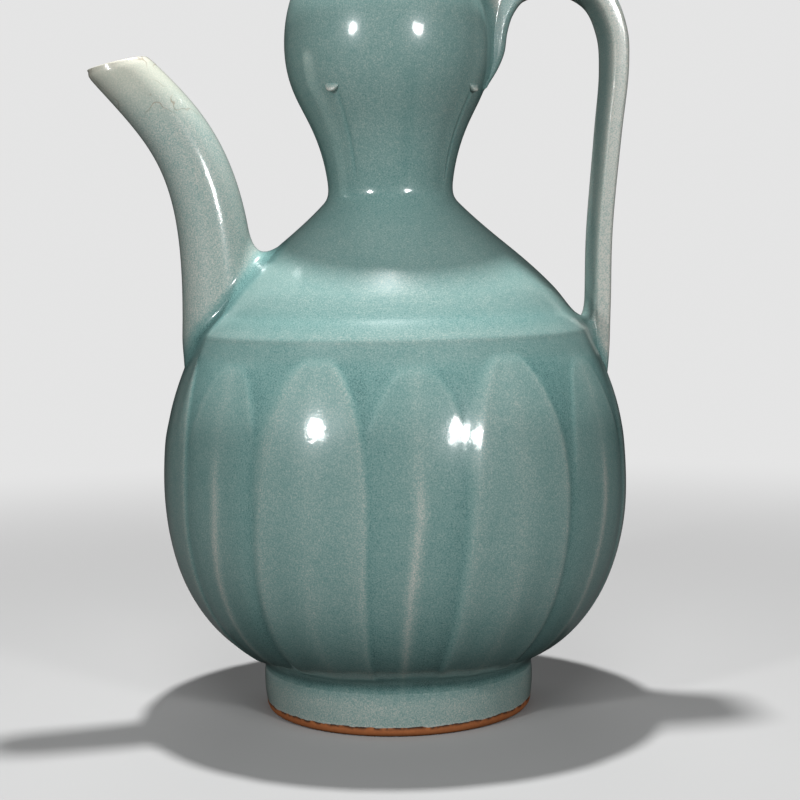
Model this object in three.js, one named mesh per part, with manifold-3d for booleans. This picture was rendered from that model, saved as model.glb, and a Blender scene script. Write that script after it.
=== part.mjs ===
// A celadon wine ewer in the shape of a double gourd: lobed lower bulb carved with
// standing lotus petals, smooth shoulder, pinched waist, small upper bulb, a long
// curved spout, a strap handle, an upright foot ring and a small lift-off lid.
// Millimetres, +Z up. The spout points along -X and the handle along +X.

import * as THREE from 'three';
import { mergeVertices } from 'three/addons/utils/BufferGeometryUtils.js';
import Module from 'manifold-3d';

const wasm = await Module();
wasm.setup();

const DEGREE = Math.PI / 180;

// Thrown body: radii, and the rise from each landmark to the next one above it.
const FOOT_RADIUS = 41;
const FOOT_HEIGHT = 15.5;
const FOOT_WALL = 7;
const FOOT_BEVEL = 1.9;
const FOOT_INNER_BEVEL = 0.6;
const BASE_DEPTH = 6.5;
const BELLY_RADIUS = 70.4;
const BELLY_RISE = 54;
const RIDGE_RADIUS = 60;
const FLANK_RISE = 45.7;
const RIDGE_SIZE = 0.9;
const WAIST_RADIUS = 18.4;
const SLOPE_RISE = 40.6;
const CROWN_RADIUS = 31.2;
const NECK_RISE = 44.7;
const DOME_RISE = 37;
const MOUTH_RADIUS = 11.6;
const COLLAR_RISE = 7.2;
const COLLAR_SWELL = 0.5;
const BODY_WALL = 4.2;
const MOUTH_WALL = 3;
const FLOOR_DISH = 1.2;

// Heights above the table that follow from them.
const BELLY_Z = FOOT_HEIGHT + BELLY_RISE;
const RIDGE_Z = BELLY_Z + FLANK_RISE;
const WAIST_Z = RIDGE_Z + SLOPE_RISE;
const CROWN_Z = WAIST_Z + NECK_RISE;
const COLLAR_Z = CROWN_Z + DOME_RISE * Math.sqrt(1 - (MOUTH_RADIUS / CROWN_RADIUS) ** 2);
const MOUTH_Z = COLLAR_Z + COLLAR_RISE;

// Lotus petals of the lower bulb, in degrees round the pot: front petals, with back
// petals showing in the gaps. Drops are measured from the ridge down to the tips.
const PETAL_CENTRES = [22.5, 79.5, 130, 180, 229.5, 279.5, 332.3];
const PETAL_DROP = 3.8;
const BACK_PETAL_DROP = 6.2;
const PETAL_ARCH = 42;
const PETAL_HALF_ANGLE = 13.4;
const PETAL_SPREAD = 2;
const PETAL_LEAN = 3;
const PETAL_FADE = 8;
const PETAL_SLIT = 0.45;
const RIM_CUT = 0.1;
const MIDRIB_CUT = 0.15;
const HOLLOW_CUT = 0.5;
const BACK_MIDRIB_CUT = 0.4;
const BACK_HOLLOW_CUT = 0.8;
const GROUND_CUT = 0.9;

// Calyx of the upper bulb: petals whose tips curl out as small beads. Drops are
// measured from the bulb's widest line down, and the reach from it up.
const CALYX_COUNT = 4;
const CALYX_TURN = 5.6 * DEGREE;
const CALYX_DROP = 9.9;
const CALYX_ARCH = 25;
const CALYX_REACH = 27.5;
const CALYX_FADE = 12;
const CALYX_STEP = 0.45;
const VEIN_CUT = 0.4;
const CURL_DROP = 13.9;
const CURL_LENGTH = 3;
const CURL_WIDTH = 2.1;
const CURL_HEIGHT = 1.7;

// Spout: a tapered tube with an open mouth cut almost level. It stands inside the ridge
// line, starts below it and ends a little under the level of the bulb's widest line.
const SPOUT_INSET = 7;
const SPOUT_ROOT_DROP = 17.2;
const SPOUT_MOUTH_DROP = 5.3;
const SPOUT_SWEEP = 27.2;
const SPOUT_UPRIGHT = 4;
const SPOUT_TIP_LEAN = 46 * DEGREE;
const SPOUT_OVERRUN = 8;
const SPOUT_ROOT_RADIUS = 11.6;
const SPOUT_TIP_RADIUS = 8.4;
const SPOUT_WALL = 2.8;
const SPOUT_LIP_WALL = 1.7;
const SPOUT_LIP_SLANT = 0.58;
const SPOUT_HOLE_RADIUS = 5;

// Strap handle: standoffs from the ridge line, rise over the bulb's widest line, width
// across the pot, and thickness in the handle's own plane.
const HANDLE_RISE = 19.3;
const HANDLE_STANDOFF = 9.8;
const HANDLE_FOOT_STANDOFF = 4;
const HANDLE_FOOT_DROP = 18.2;
const STRAP_WIDTH = 19.2;
const STRAP_FOOT_WIDTH = 16.6;
const STRAP_THICKNESS = 6.6;
const STRAP_FOOT_THICKNESS = 5.5;
const STRAP_ROOT_THICKNESS = 9.2;
const STRAP_TAIL_THICKNESS = 3.4;
const STRAP_SEAT_THICKNESS = 6.8;
const STRAP_TAIL = 14;
const STRAP_ROOT = 22;
const STRAP_ROOT_FADE = 26;
const STRAP_SEAT = 24;
// Powers under one square up the round section: its broad faces and its narrow edges.
const STRAP_FACE_POWER = 0.35;
const STRAP_EDGE_POWER = 0.6;

// Lid: a domed cap with a stalk knob above and a locating flange in the mouth.
const LID_OVERHANG = 2.4;
const LID_RISE = 6.6;
const LID_EDGE = 1.6;
const LID_HOLLOW = 1.8;
const KNOB_RADIUS = 3.7;
const KNOB_HEIGHT = 10.5;
const KNOB_SEAT = 3.2;
const KNOB_LAND = 0.4;
const FLANGE_DEPTH = 7;
const FLANGE_WALL = 2;
const FLANGE_CLEARANCE = 0.6;

// Gap left where one piece is cut to the shape of its neighbour.
const SEAT_GAP = 0.3;

// Facet counts.
const BOWL_ROWS = 8;
const FLANK_ROWS = 10;
const SLOPE_ROWS = 7;
const CROWN_ROWS = 8;
const DOME_ROWS = 6;
const INNER_ROWS = 4;
const BULB_COLUMNS = 84;
const CALYX_COLUMNS = 48;
const RING_COLUMNS = 44;
const LID_COLUMNS = 28;
const KNOB_COLUMNS = 20;
const CAP_ROWS = 6;
const CURL_COLUMNS = 12;
const CURL_ROWS = 8;
const SPOUT_COLUMNS = 18;
const SPOUT_ROWS = 18;
const HOLE_COLUMNS = 16;
const STRAP_COLUMNS = 14;
const STRAP_ROWS = 35;

const glaze = new THREE.MeshStandardMaterial({ color: 0x6f9792, roughness: 0.18, metalness: 0 });
const paleGlaze = new THREE.MeshStandardMaterial({ color: 0xa9b9b0, roughness: 0.2, metalness: 0 });
const bareClay = new THREE.MeshStandardMaterial({ color: 0x9a5a2c, roughness: 0.8, metalness: 0 });

const clamp01 = (x) => Math.min(1, Math.max(0, x));
const smooth = (x) => clamp01(x) ** 2 * (3 - 2 * clamp01(x));
const mix = (a, b, t) => a + (b - a) * t;
const point = (r, z) => new THREE.Vector2(r, z);
const nearest = (outline, off) => outline.reduce((a, b) => (Math.abs(off(b)) < Math.abs(off(a)) ? b : a));

// Outline of the thrown body

// Smooth stretch between two points, given its two handle points.
function stretch(from, handleA, handleB, to, rows) {
  return new THREE.CubicBezierCurve(from, handleA, handleB, to).getPoints(rows);
}

// The bowl swells from the top of the foot to the widest line of the belly.
function bowlOutline(rows) {
  const rise = BELLY_Z - FOOT_HEIGHT;
  const start = point(FOOT_RADIUS + SEAT_GAP, FOOT_HEIGHT);
  const swell = point(mix(start.x, BELLY_RADIUS, 0.6), FOOT_HEIGHT + rise * 0.15);
  const upright = point(BELLY_RADIUS, BELLY_Z - rise * 0.52);
  return stretch(start, swell, upright, point(BELLY_RADIUS, BELLY_Z), rows);
}

// From the belly up to the underside of the ridge.
function flankOutline(rows) {
  const rise = RIDGE_Z - RIDGE_SIZE - BELLY_Z;
  const end = point(RIDGE_RADIUS - RIDGE_SIZE / 2, RIDGE_Z - RIDGE_SIZE);
  const lean = point(mix(end.x, BELLY_RADIUS, 0.7), BELLY_Z + rise * 0.6);
  const upright = point(BELLY_RADIUS, BELLY_Z + rise * 0.385);
  return stretch(point(BELLY_RADIUS, BELLY_Z), upright, lean, end, rows);
}

// From the ridge, in a long slope, to the waist.
function shoulderOutline(rows) {
  const start = point(RIDGE_RADIUS - RIDGE_SIZE * 1.3, RIDGE_Z + RIDGE_SIZE * 0.8);
  const end = point(WAIST_RADIUS, WAIST_Z);
  const rise = end.y - start.y;
  const handleA = point(mix(start.x, end.x, 0.382), start.y + rise * 0.529);
  const handleB = point(mix(start.x, end.x, 0.692), start.y + rise * 0.651);
  return stretch(start, handleA, handleB, end, rows);
}

// From the waist to the widest line of the upper bulb.
function crownOutline(rows) {
  const rise = CROWN_Z - WAIST_Z;
  const start = point(WAIST_RADIUS, WAIST_Z);
  const handleA = point(WAIST_RADIUS + 2.8, WAIST_Z + rise * 0.58);
  const handleB = point(CROWN_RADIUS, CROWN_Z - rise * 0.42);
  return stretch(start, handleA, handleB, point(CROWN_RADIUS, CROWN_Z), rows);
}

// The upper bulb closes in along an ellipse until it meets the mouth collar.
function domeOutline(radius, rise, collarRadius, rows) {
  const last = Math.acos(collarRadius / radius);
  return Array.from({ length: rows + 1 }, (_, k) => {
    const angle = (last * k) / rows;
    return point(radius * Math.cos(angle), CROWN_Z + rise * Math.sin(angle));
  });
}

// Moves an outline sideways by a distance, positive away from the axis.
function offset(outline, distance) {
  return outline.map((p, k) => {
    const before = outline[Math.max(0, k - 1)];
    const after = outline[Math.min(outline.length - 1, k + 1)];
    const along = after.clone().sub(before).normalize();
    return point(p.x + along.y * distance, p.y - along.x * distance);
  });
}

// Turning and carving

// Merges shared corners and drops the flat triangles left at the axis.
function weld(geometry) {
  geometry.deleteAttribute('normal');
  geometry.deleteAttribute('uv');
  const merged = mergeVertices(geometry, 1e-4);
  const corners = merged.index.array;
  const kept = [];
  for (let i = 0; i < corners.length; i += 3) {
    const [a, b, c] = corners.slice(i, i + 3);
    if (a !== b && b !== c && c !== a) kept.push(a, b, c);
  }
  merged.setIndex(kept);
  return merged;
}

// Turns a closed outline round the Z axis. Angle 0 is the front, -Y, and grows towards +X.
// A carving function may move the corners of the outline's first rows.
function turn(outline, columns, carving = null, carvedRows = [0, -1]) {
  const geometry = new THREE.LatheGeometry(outline, columns);
  const place = geometry.attributes.position;
  const rows = outline.length;
  for (let i = 0; i < place.count; i++) {
    const closing = i % rows === rows - 1 && outline[rows - 1].equals(outline[0]);
    const row = closing ? 0 : i % rows;
    const column = Math.floor(i / rows) % columns;
    const radius = outline[row].x;
    const height = outline[row].y;
    let angle = (column / columns) * 2 * Math.PI;
    let cut = 0;
    if (carving && row >= carvedRows[0] && row <= carvedRows[1]) {
      [angle, cut] = carving(column, height);
    }
    place.setXYZ(i, (radius - cut) * Math.sin(angle), -(radius - cut) * Math.cos(angle), height);
  }
  return weld(geometry);
}

// Half width, in degrees, of a petal whose arched top ends at tipZ. It never quite
// closes, so that the columns beside it stay apart.
function archHalfAngle(z, tipZ, arch, halfAngle) {
  const depth = clamp01((tipZ - z) / arch);
  return Math.max(1.2, halfAngle * (1 - (1 - depth) ** 2.2) ** 0.48);
}

// Where one column of the lower bulb's wall goes, and how deep it is cut there.
// A period of the pattern runs from one back petal's midrib to the next one's.
function petalCarving(column, z) {
  const count = PETAL_CENTRES.length;
  const perPeriod = BULB_COLUMNS / count;
  const half = perPeriod / 2;
  const period = Math.floor(column / perPeriod);
  const step = column % perPeriod;
  const centre = PETAL_CENTRES[(period + count - 1) % count] - (period === 0 ? 360 : 0);
  const next = PETAL_CENTRES[period % count];
  const backCentre = (centre + next) / 2;
  const following = PETAL_CENTRES[(period + 1) % count] + (period === count - 1 ? 360 : 0);
  const nextBack = (next + following) / 2;
  const rising = step <= half;
  const from = rising ? backCentre : nextBack;
  const gap = Math.abs(next - from);
  const stage = rising ? step : perPeriod - step;

  const tip = RIDGE_Z - PETAL_DROP;
  const backTip = RIDGE_Z - BACK_PETAL_DROP;
  const low = clamp01((BELLY_Z - z) / BELLY_RISE);
  const front = Math.min(gap - 3, archHalfAngle(z, tip, PETAL_ARCH, PETAL_HALF_ANGLE) + PETAL_SPREAD * low);
  const room = gap - front - PETAL_SLIT;
  const back = Math.min(room, archHalfAngle(z, backTip, PETAL_ARCH, PETAL_HALF_ANGLE));
  const shown = smooth((room - back) / 2);
  const frontHere = smooth((tip - z) / 3);
  const backHere = smooth((backTip - z) / 3);
  const ground = mix(BACK_HOLLOW_CUT, GROUND_CUT, shown);
  const backRim = mix(ground, BACK_MIDRIB_CUT, shown);

  const places = [0, back * 0.55, back, gap - front, gap - front * 0.93, gap - front * 0.5, gap];
  const cuts = [
    mix(GROUND_CUT, BACK_MIDRIB_CUT, backHere),
    mix(GROUND_CUT, BACK_HOLLOW_CUT, backHere),
    mix(GROUND_CUT, backRim, backHere),
    mix(GROUND_CUT, ground, frontHere),
    mix(GROUND_CUT, RIM_CUT, frontHere),
    mix(GROUND_CUT, HOLLOW_CUT, frontHere),
    mix(GROUND_CUT, MIDRIB_CUT, frontHere),
  ];
  const away = places[stage] * (rising ? 1 : -1);
  const fadeLow = smooth((z - FOOT_HEIGHT) / PETAL_FADE);
  const fadeHigh = smooth((RIDGE_Z - RIDGE_SIZE - z) / RIDGE_SIZE);
  const angle = (from + away - PETAL_LEAN * low) * DEGREE;
  return [angle, cuts[stage] * fadeLow * fadeHigh];
}

// The same for the calyx petals of the upper bulb, which meet edge to edge low down.
function calyxCarving(column, z) {
  const perPeriod = CALYX_COLUMNS / CALYX_COUNT;
  const half = perPeriod / 2;
  const period = Math.floor(column / perPeriod);
  const step = column % perPeriod;
  const gap = 180 / CALYX_COUNT;
  const rising = step <= half;
  const stage = rising ? step : perPeriod - step;
  const from = (period + (rising ? 0 : 1)) * 2 * gap;
  const tip = CROWN_Z - CALYX_DROP;
  const front = Math.min(gap - 1.2, Math.max(4, archHalfAngle(z, tip, CALYX_ARCH, gap)));
  const room = gap - front;
  const frontHere = smooth((tip - z) / 2.5);
  const backShown = smooth((room - 1.2) / 4);
  const ground = mix(CALYX_STEP, CALYX_STEP * 0.7, backShown);

  const places = [0, room * 0.3, room * 0.7, room, gap - front * 0.93, gap - front * 0.3, gap];
  const cuts = [
    mix(CALYX_STEP, CALYX_STEP + VEIN_CUT * 0.6, backShown),
    ground,
    ground,
    mix(ground, CALYX_STEP, frontHere),
    mix(ground, 0, frontHere),
    mix(ground, 0.1, frontHere),
    mix(CALYX_STEP + VEIN_CUT * 0.4, VEIN_CUT, frontHere),
  ];
  const fade = smooth((z - WAIST_Z) / 5) * smooth((CROWN_Z + CALYX_REACH - z) / CALYX_FADE);
  const angle = (from + places[stage] * (rising ? 1 : -1)) * DEGREE + CALYX_TURN;
  return [angle, cuts[stage] * fade];
}

// Solid modelling helpers

function toSolid(geometry) {
  return new wasm.Manifold(new wasm.Mesh({
    numProp: 3,
    vertProperties: Float32Array.from(geometry.attributes.position.array),
    triVerts: Uint32Array.from(geometry.index.array),
  }));
}

function toGeometry(solid) {
  const mesh = solid.getMesh();
  const geometry = new THREE.BufferGeometry();
  geometry.setAttribute('position', new THREE.BufferAttribute(mesh.vertProperties, 3));
  geometry.setIndex(new THREE.BufferAttribute(mesh.triVerts, 1));
  return geometry;
}

function cut(geometry, ...tools) {
  return toGeometry(tools.reduce((solid, tool) => solid.subtract(toSolid(tool)), toSolid(geometry)));
}

// Bends a column that stands on Z along a curve in the XZ plane. The column's height is
// the distance along the curve, its x goes to the curve's inner side and its y stays.
function bend(geometry, curve) {
  const place = geometry.attributes.position;
  const length = curve.getLength();
  for (let i = 0; i < place.count; i++) {
    const u = clamp01(place.getZ(i) / length);
    const at = curve.getPointAt(u);
    const along = curve.getTangentAt(u);
    place.setXYZ(i, at.x + along.z * place.getX(i), place.getY(i), at.z - along.x * place.getX(i));
  }
  return geometry;
}

const inPlane = (x, z) => new THREE.Vector3(x, 0, z);

// The outside of the whole body, grown by the seat gap, which cuts what is luted on.
function bodyEnvelope() {
  const outline = [
    ...bowlOutline(BOWL_ROWS),
    ...flankOutline(FLANK_ROWS).slice(1),
    point(RIDGE_RADIUS, RIDGE_Z),
    ...shoulderOutline(SLOPE_ROWS),
    ...crownOutline(CROWN_ROWS).slice(1),
    ...domeOutline(CROWN_RADIUS, DOME_RISE, MOUTH_RADIUS, DOME_ROWS).slice(1),
  ];
  const grown = offset(outline, SEAT_GAP);
  const closed = [point(0, grown[0].y), ...grown, point(0, grown.at(-1).y)];
  return turn(closed, BULB_COLUMNS);
}

// Pieces of the body

function footRing() {
  const inner = FOOT_RADIUS - FOOT_WALL;
  const outline = [
    point(inner - FOOT_INNER_BEVEL, 0),
    point(FOOT_RADIUS - FOOT_BEVEL, 0),
    point(FOOT_RADIUS - 0.3, FOOT_BEVEL),
    point(FOOT_RADIUS + 0.2, FOOT_HEIGHT * 0.5),
    point(FOOT_RADIUS - 0.2, FOOT_HEIGHT * 0.85),
    point(FOOT_RADIUS, FOOT_HEIGHT),
    point(inner, FOOT_HEIGHT),
    point(inner, FOOT_HEIGHT * 0.4),
    point(inner - FOOT_INNER_BEVEL, 0),
  ];
  return turn(outline, RING_COLUMNS);
}

function bowl() {
  const outer = bowlOutline(BOWL_ROWS);
  const boss = FOOT_RADIUS - FOOT_WALL - SEAT_GAP;
  const inner = offset(bowlOutline(INNER_ROWS), -BODY_WALL).reverse();
  inner[0] = point(BELLY_RADIUS - BODY_WALL, BELLY_Z);
  const outline = [
    point(0, FOOT_HEIGHT - BASE_DEPTH),
    point(boss, FOOT_HEIGHT - BASE_DEPTH),
    point(boss, FOOT_HEIGHT),
    ...outer,
    ...inner,
    point(0, inner.at(-1).y - FLOOR_DISH),
  ];
  return turn(outline, BULB_COLUMNS, petalCarving, [3, 2 + outer.length]);
}

function shoulder() {
  const flank = flankOutline(FLANK_ROWS);
  const slope = shoulderOutline(SLOPE_ROWS);
  const innerSlope = offset(shoulderOutline(INNER_ROWS), -BODY_WALL).reverse();
  const innerFlank = offset(flankOutline(INNER_ROWS - 1), -BODY_WALL).reverse();
  innerSlope[0] = point(WAIST_RADIUS - BODY_WALL, WAIST_Z);
  innerFlank[innerFlank.length - 1] = point(BELLY_RADIUS - BODY_WALL, BELLY_Z);
  const outline = [
    ...flank,
    point(RIDGE_RADIUS, RIDGE_Z),
    ...slope,
    ...innerSlope.slice(0, -1),
    ...innerFlank.slice(1),
    flank[0].clone(),
  ];
  const wall = turn(outline, BULB_COLUMNS, petalCarving, [0, flank.length - 1]);
  return cut(wall, spoutHole());
}

// The hole behind the spout, bored square to the shoulder's slope near the spout's axis.
function spoutHole() {
  const slope = shoulderOutline(64);
  const k = slope.indexOf(nearest(slope, (p) => p.x - (SPOUT_AXIS - SPOUT_HOLE_RADIUS * 0.6)));
  const along = slope[k + 1].clone().sub(slope[k - 1]);
  const drill = new THREE.CylinderGeometry(SPOUT_HOLE_RADIUS, SPOUT_HOLE_RADIUS, BODY_WALL * 5, HOLE_COLUMNS);
  drill.rotateX(Math.PI / 2);
  drill.rotateY(-Math.atan2(along.y, -along.x));
  drill.translate(-slope[k].x, 0, slope[k].y);
  return weld(drill);
}

function upperBulb() {
  const outer = [
    ...crownOutline(CROWN_ROWS),
    ...domeOutline(CROWN_RADIUS, DOME_RISE, MOUTH_RADIUS, DOME_ROWS).slice(1),
  ];
  const bore = MOUTH_RADIUS - MOUTH_WALL;
  const innerDome = domeOutline(CROWN_RADIUS - BODY_WALL, DOME_RISE - BODY_WALL, bore, INNER_ROWS).reverse();
  const innerCrown = offset(crownOutline(INNER_ROWS), -BODY_WALL).reverse();
  innerCrown[innerCrown.length - 1] = point(WAIST_RADIUS - BODY_WALL, WAIST_Z);
  const outline = [
    ...outer,
    point(MOUTH_RADIUS, MOUTH_Z - COLLAR_RISE * 0.5),
    point(MOUTH_RADIUS + COLLAR_SWELL, MOUTH_Z - COLLAR_RISE * 0.12),
    point(MOUTH_RADIUS, MOUTH_Z),
    point(bore, MOUTH_Z),
    ...innerDome,
    ...innerCrown.slice(1),
    outer[0].clone(),
  ];
  return turn(outline, CALYX_COLUMNS, calyxCarving, [0, outer.length - 1]);
}

// One curled petal tip, a bead pressed on the bulb in the middle of its petal.
function petalTip(angle, envelope) {
  const height = CROWN_Z - CURL_DROP;
  const surface = nearest(crownOutline(64), (p) => p.y - height);
  const bead = new THREE.SphereGeometry(1, CURL_COLUMNS, CURL_ROWS);
  bead.scale(CURL_LENGTH, CURL_WIDTH, CURL_HEIGHT);
  bead.translate(surface.x, 0, height);
  bead.rotateZ(angle);
  return cut(weld(bead), envelope);
}

// The spout's centre line rises beside the shoulder and curves out to the mouth. It runs
// on past the mouth, so that the tube's end can be cut on a slant.
const SPOUT_AXIS = RIDGE_RADIUS - SPOUT_INSET;

function spoutLine() {
  const root = inPlane(-SPOUT_AXIS, RIDGE_Z - SPOUT_ROOT_DROP);
  const mouth = inPlane(-SPOUT_AXIS - SPOUT_SWEEP, CROWN_Z - SPOUT_MOUTH_DROP);
  const rise = mouth.z - root.z;
  const upright = inPlane(root.x + SPOUT_UPRIGHT, root.z + rise * 0.72);
  const lean = inPlane(mix(root.x, mouth.x, 0.3), root.z + rise * 0.78);
  const beyond = inPlane(
    mouth.x - SPOUT_OVERRUN * Math.sin(SPOUT_TIP_LEAN),
    mouth.z + SPOUT_OVERRUN * Math.cos(SPOUT_TIP_LEAN),
  );
  return new THREE.CubicBezierCurve3(root, upright, lean, beyond);
}

function spout(envelope) {
  const line = spoutLine();
  const length = line.getLength() - SPOUT_OVERRUN;
  const outer = [];
  const inner = [];
  for (let k = 0; k <= SPOUT_ROWS; k++) {
    const t = k / SPOUT_ROWS;
    const radius = mix(SPOUT_ROOT_RADIUS, SPOUT_TIP_RADIUS, t ** 1.35);
    const wall = mix(SPOUT_WALL, SPOUT_LIP_WALL, smooth(t * 2 - 1));
    outer.push(point(radius, length * t));
    inner.push(point(radius - wall, length * t));
  }
  const lip = point(outer.at(-1).x - SPOUT_LIP_WALL / 2, length + SPOUT_LIP_WALL / 3);
  const outline = [...outer, lip, ...inner.reverse().filter((_, k) => k % 2 === 0), outer[0].clone()];
  const tube = turn(outline, SPOUT_COLUMNS);
  const place = tube.attributes.position;
  for (let i = 0; i < place.count; i++) {
    const near = smooth((place.getZ(i) / length - 0.7) / 0.3);
    place.setZ(i, place.getZ(i) - place.getX(i) * SPOUT_LIP_SLANT * near);
  }
  return cut(bend(tube, line), envelope);
}

// The strap leaves the upper bulb's side, arches over and comes down to the ridge.
function strapLine() {
  const top = CROWN_Z + HANDLE_RISE;
  const reach = RIDGE_RADIUS + HANDLE_STANDOFF;
  const side = RIDGE_RADIUS + HANDLE_FOOT_STANDOFF;
  const foot = RIDGE_Z - HANDLE_FOOT_DROP;
  return new THREE.CatmullRomCurve3([
    inPlane(CROWN_RADIUS - 4.8, CROWN_Z - 14),
    inPlane(CROWN_RADIUS - 2.5, CROWN_Z - 8),
    inPlane(CROWN_RADIUS - 1.2, CROWN_Z - 2),
    inPlane(CROWN_RADIUS - 0.2, mix(CROWN_Z, top, 0.23)),
    inPlane(CROWN_RADIUS + 2.1, mix(CROWN_Z, top, 0.55)),
    inPlane(mix(CROWN_RADIUS, reach, 0.19), mix(CROWN_Z, top, 0.83)),
    inPlane(mix(CROWN_RADIUS, reach, 0.56), top),
    inPlane(reach - 5.6, top - 5.1),
    inPlane(reach - 0.9, top - 15),
    inPlane(reach - 0.2, top - 26),
    inPlane(mix(side, reach, 0.6), mix(foot, top, 0.62)),
    inPlane(mix(side, reach, 0.12), mix(foot, top, 0.38)),
    inPlane(side, RIDGE_Z + 6),
    inPlane(side - 0.7, RIDGE_Z - 6),
    inPlane(side - 2.2, foot),
  ], false, 'centripetal');
}

// Thickness of the strap at a distance along it: a thin tail pressed on the bulb, a thick
// root, a slender arch and a seat that is a little thicker where it meets the ridge.
function strapThickness(along, length) {
  const slender = mix(STRAP_THICKNESS, STRAP_FOOT_THICKNESS, smooth((along / length - 0.3) / 0.4));
  const arch = mix(STRAP_ROOT_THICKNESS, slender, smooth((along - STRAP_ROOT) / STRAP_ROOT_FADE));
  const seated = mix(arch, STRAP_SEAT_THICKNESS, smooth((along - length + STRAP_SEAT) / STRAP_SEAT));
  return mix(STRAP_TAIL_THICKNESS, seated, smooth(along / STRAP_TAIL));
}

function strapHandle(envelope) {
  const line = strapLine();
  const length = line.getLength();
  const strap = new THREE.CylinderGeometry(1, 1, length, STRAP_COLUMNS, STRAP_ROWS);
  strap.rotateX(Math.PI / 2);
  strap.translate(0, 0, length / 2);
  const place = strap.attributes.position;
  for (let i = 0; i < place.count; i++) {
    const along = place.getZ(i);
    const width = mix(STRAP_WIDTH, STRAP_FOOT_WIDTH, smooth((along / length - 0.25) / 0.5));
    const x = place.getX(i);
    const y = place.getY(i);
    place.setX(i, Math.sign(x) * Math.abs(x) ** STRAP_FACE_POWER * strapThickness(along, length) / 2);
    place.setY(i, Math.sign(y) * Math.abs(y) ** STRAP_EDGE_POWER * width / 2);
  }
  return cut(bend(weld(strap), line), envelope);
}

// Pieces of the lid

const FLANGE_RADIUS = MOUTH_RADIUS - MOUTH_WALL - FLANGE_CLEARANCE;

function lidCap() {
  const radius = MOUTH_RADIUS + LID_OVERHANG;
  const land = KNOB_SEAT + KNOB_LAND;
  const shoulderZ = MOUTH_Z + LID_EDGE;
  const top = MOUTH_Z + LID_RISE;
  const outline = [
    point(0, MOUTH_Z + LID_HOLLOW),
    point(FLANGE_RADIUS - FLANGE_WALL, MOUTH_Z),
    point(radius - 0.5, MOUTH_Z),
    point(radius, MOUTH_Z + LID_EDGE / 2),
    point(radius - 0.3, shoulderZ),
  ];
  for (let k = 1; k < CAP_ROWS; k++) {
    const angle = (k / CAP_ROWS) * (Math.PI / 2);
    const r = mix(land, radius - LID_EDGE * 0.6, Math.cos(angle));
    outline.push(point(r, mix(shoulderZ, top, Math.sin(angle))));
  }
  outline.push(point(land, top), point(0, top));
  return turn(outline, LID_COLUMNS);
}

function lidKnob() {
  const foot = MOUTH_Z + LID_RISE;
  return turn([
    point(0, foot),
    point(KNOB_SEAT, foot),
    point(KNOB_RADIUS * 0.68, foot + KNOB_HEIGHT * 0.22),
    point(KNOB_RADIUS * 0.72, foot + KNOB_HEIGHT * 0.4),
    point(KNOB_RADIUS, foot + KNOB_HEIGHT * 0.66),
    point(KNOB_RADIUS * 0.9, foot + KNOB_HEIGHT * 0.82),
    point(KNOB_RADIUS * 0.5, foot + KNOB_HEIGHT * 0.95),
    point(0, foot + KNOB_HEIGHT),
  ], KNOB_COLUMNS);
}

function lidFlange() {
  const inside = FLANGE_RADIUS - FLANGE_WALL;
  const foot = MOUTH_Z - FLANGE_DEPTH;
  return turn([
    point(inside + 0.3, foot),
    point(FLANGE_RADIUS - 0.6, foot),
    point(FLANGE_RADIUS, foot + 0.8),
    point(FLANGE_RADIUS, MOUTH_Z),
    point(inside, MOUTH_Z),
    point(inside + 0.3, foot),
  ], LID_COLUMNS);
}

// Assembly

const ewer = new THREE.Group();

function add(name, geometry, material) {
  geometry.computeVertexNormals();
  const mesh = new THREE.Mesh(geometry, material);
  mesh.name = name;
  ewer.add(mesh);
}

const envelope = bodyEnvelope();
add('foot_ring', footRing(), paleGlaze);
add('lower_bulb_bowl', bowl(), glaze);
add('lower_bulb_shoulder', shoulder(), glaze);
add('upper_bulb', upperBulb(), glaze);
for (let k = 0; k < CALYX_COUNT; k++) {
  const angle = ((k + 0.5) / CALYX_COUNT) * 2 * Math.PI + CALYX_TURN;
  add(`petal_tip_${k + 1}`, petalTip(angle, envelope), paleGlaze);
}
add('spout', spout(envelope), glaze);
add('handle', strapHandle(envelope), glaze);
add('lid_cap', lidCap(), glaze);
add('lid_knob', lidKnob(), glaze);
add('lid_flange', lidFlange(), bareClay);

// The origin is under the middle of the ewer's length, on the table.
const reach = new THREE.Box3().setFromObject(ewer);
ewer.children.forEach((piece) => piece.geometry.translate(-(reach.min.x + reach.max.x) / 2, 0, 0));

export default ewer;
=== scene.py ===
# %% [markdown]
# # A celadon wine ewer in the shape of a double gourd
#
# The ewer was made in parts. A potter threw a big lower bulb and a small upper one,
# luted them together at the waist, carved lotus petals with a blade, and added a foot
# ring, a spout, a strap handle and a lid. Then one coat of thick glaze was fired over
# everything but the edge that stands on the table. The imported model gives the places
# and sizes; this lesson dresses it with smooth, carved and glazed pieces.

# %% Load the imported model
from math import acos, atan2, copysign, cos, exp, hypot, pi, radians, sin, sqrt, tan, tau

import bmesh
import bpy
import numpy as np
from mathutils import Matrix, Vector, noise
from mathutils.bvhtree import BVHTree
from mathutils.geometry import interpolate_bezier


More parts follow.
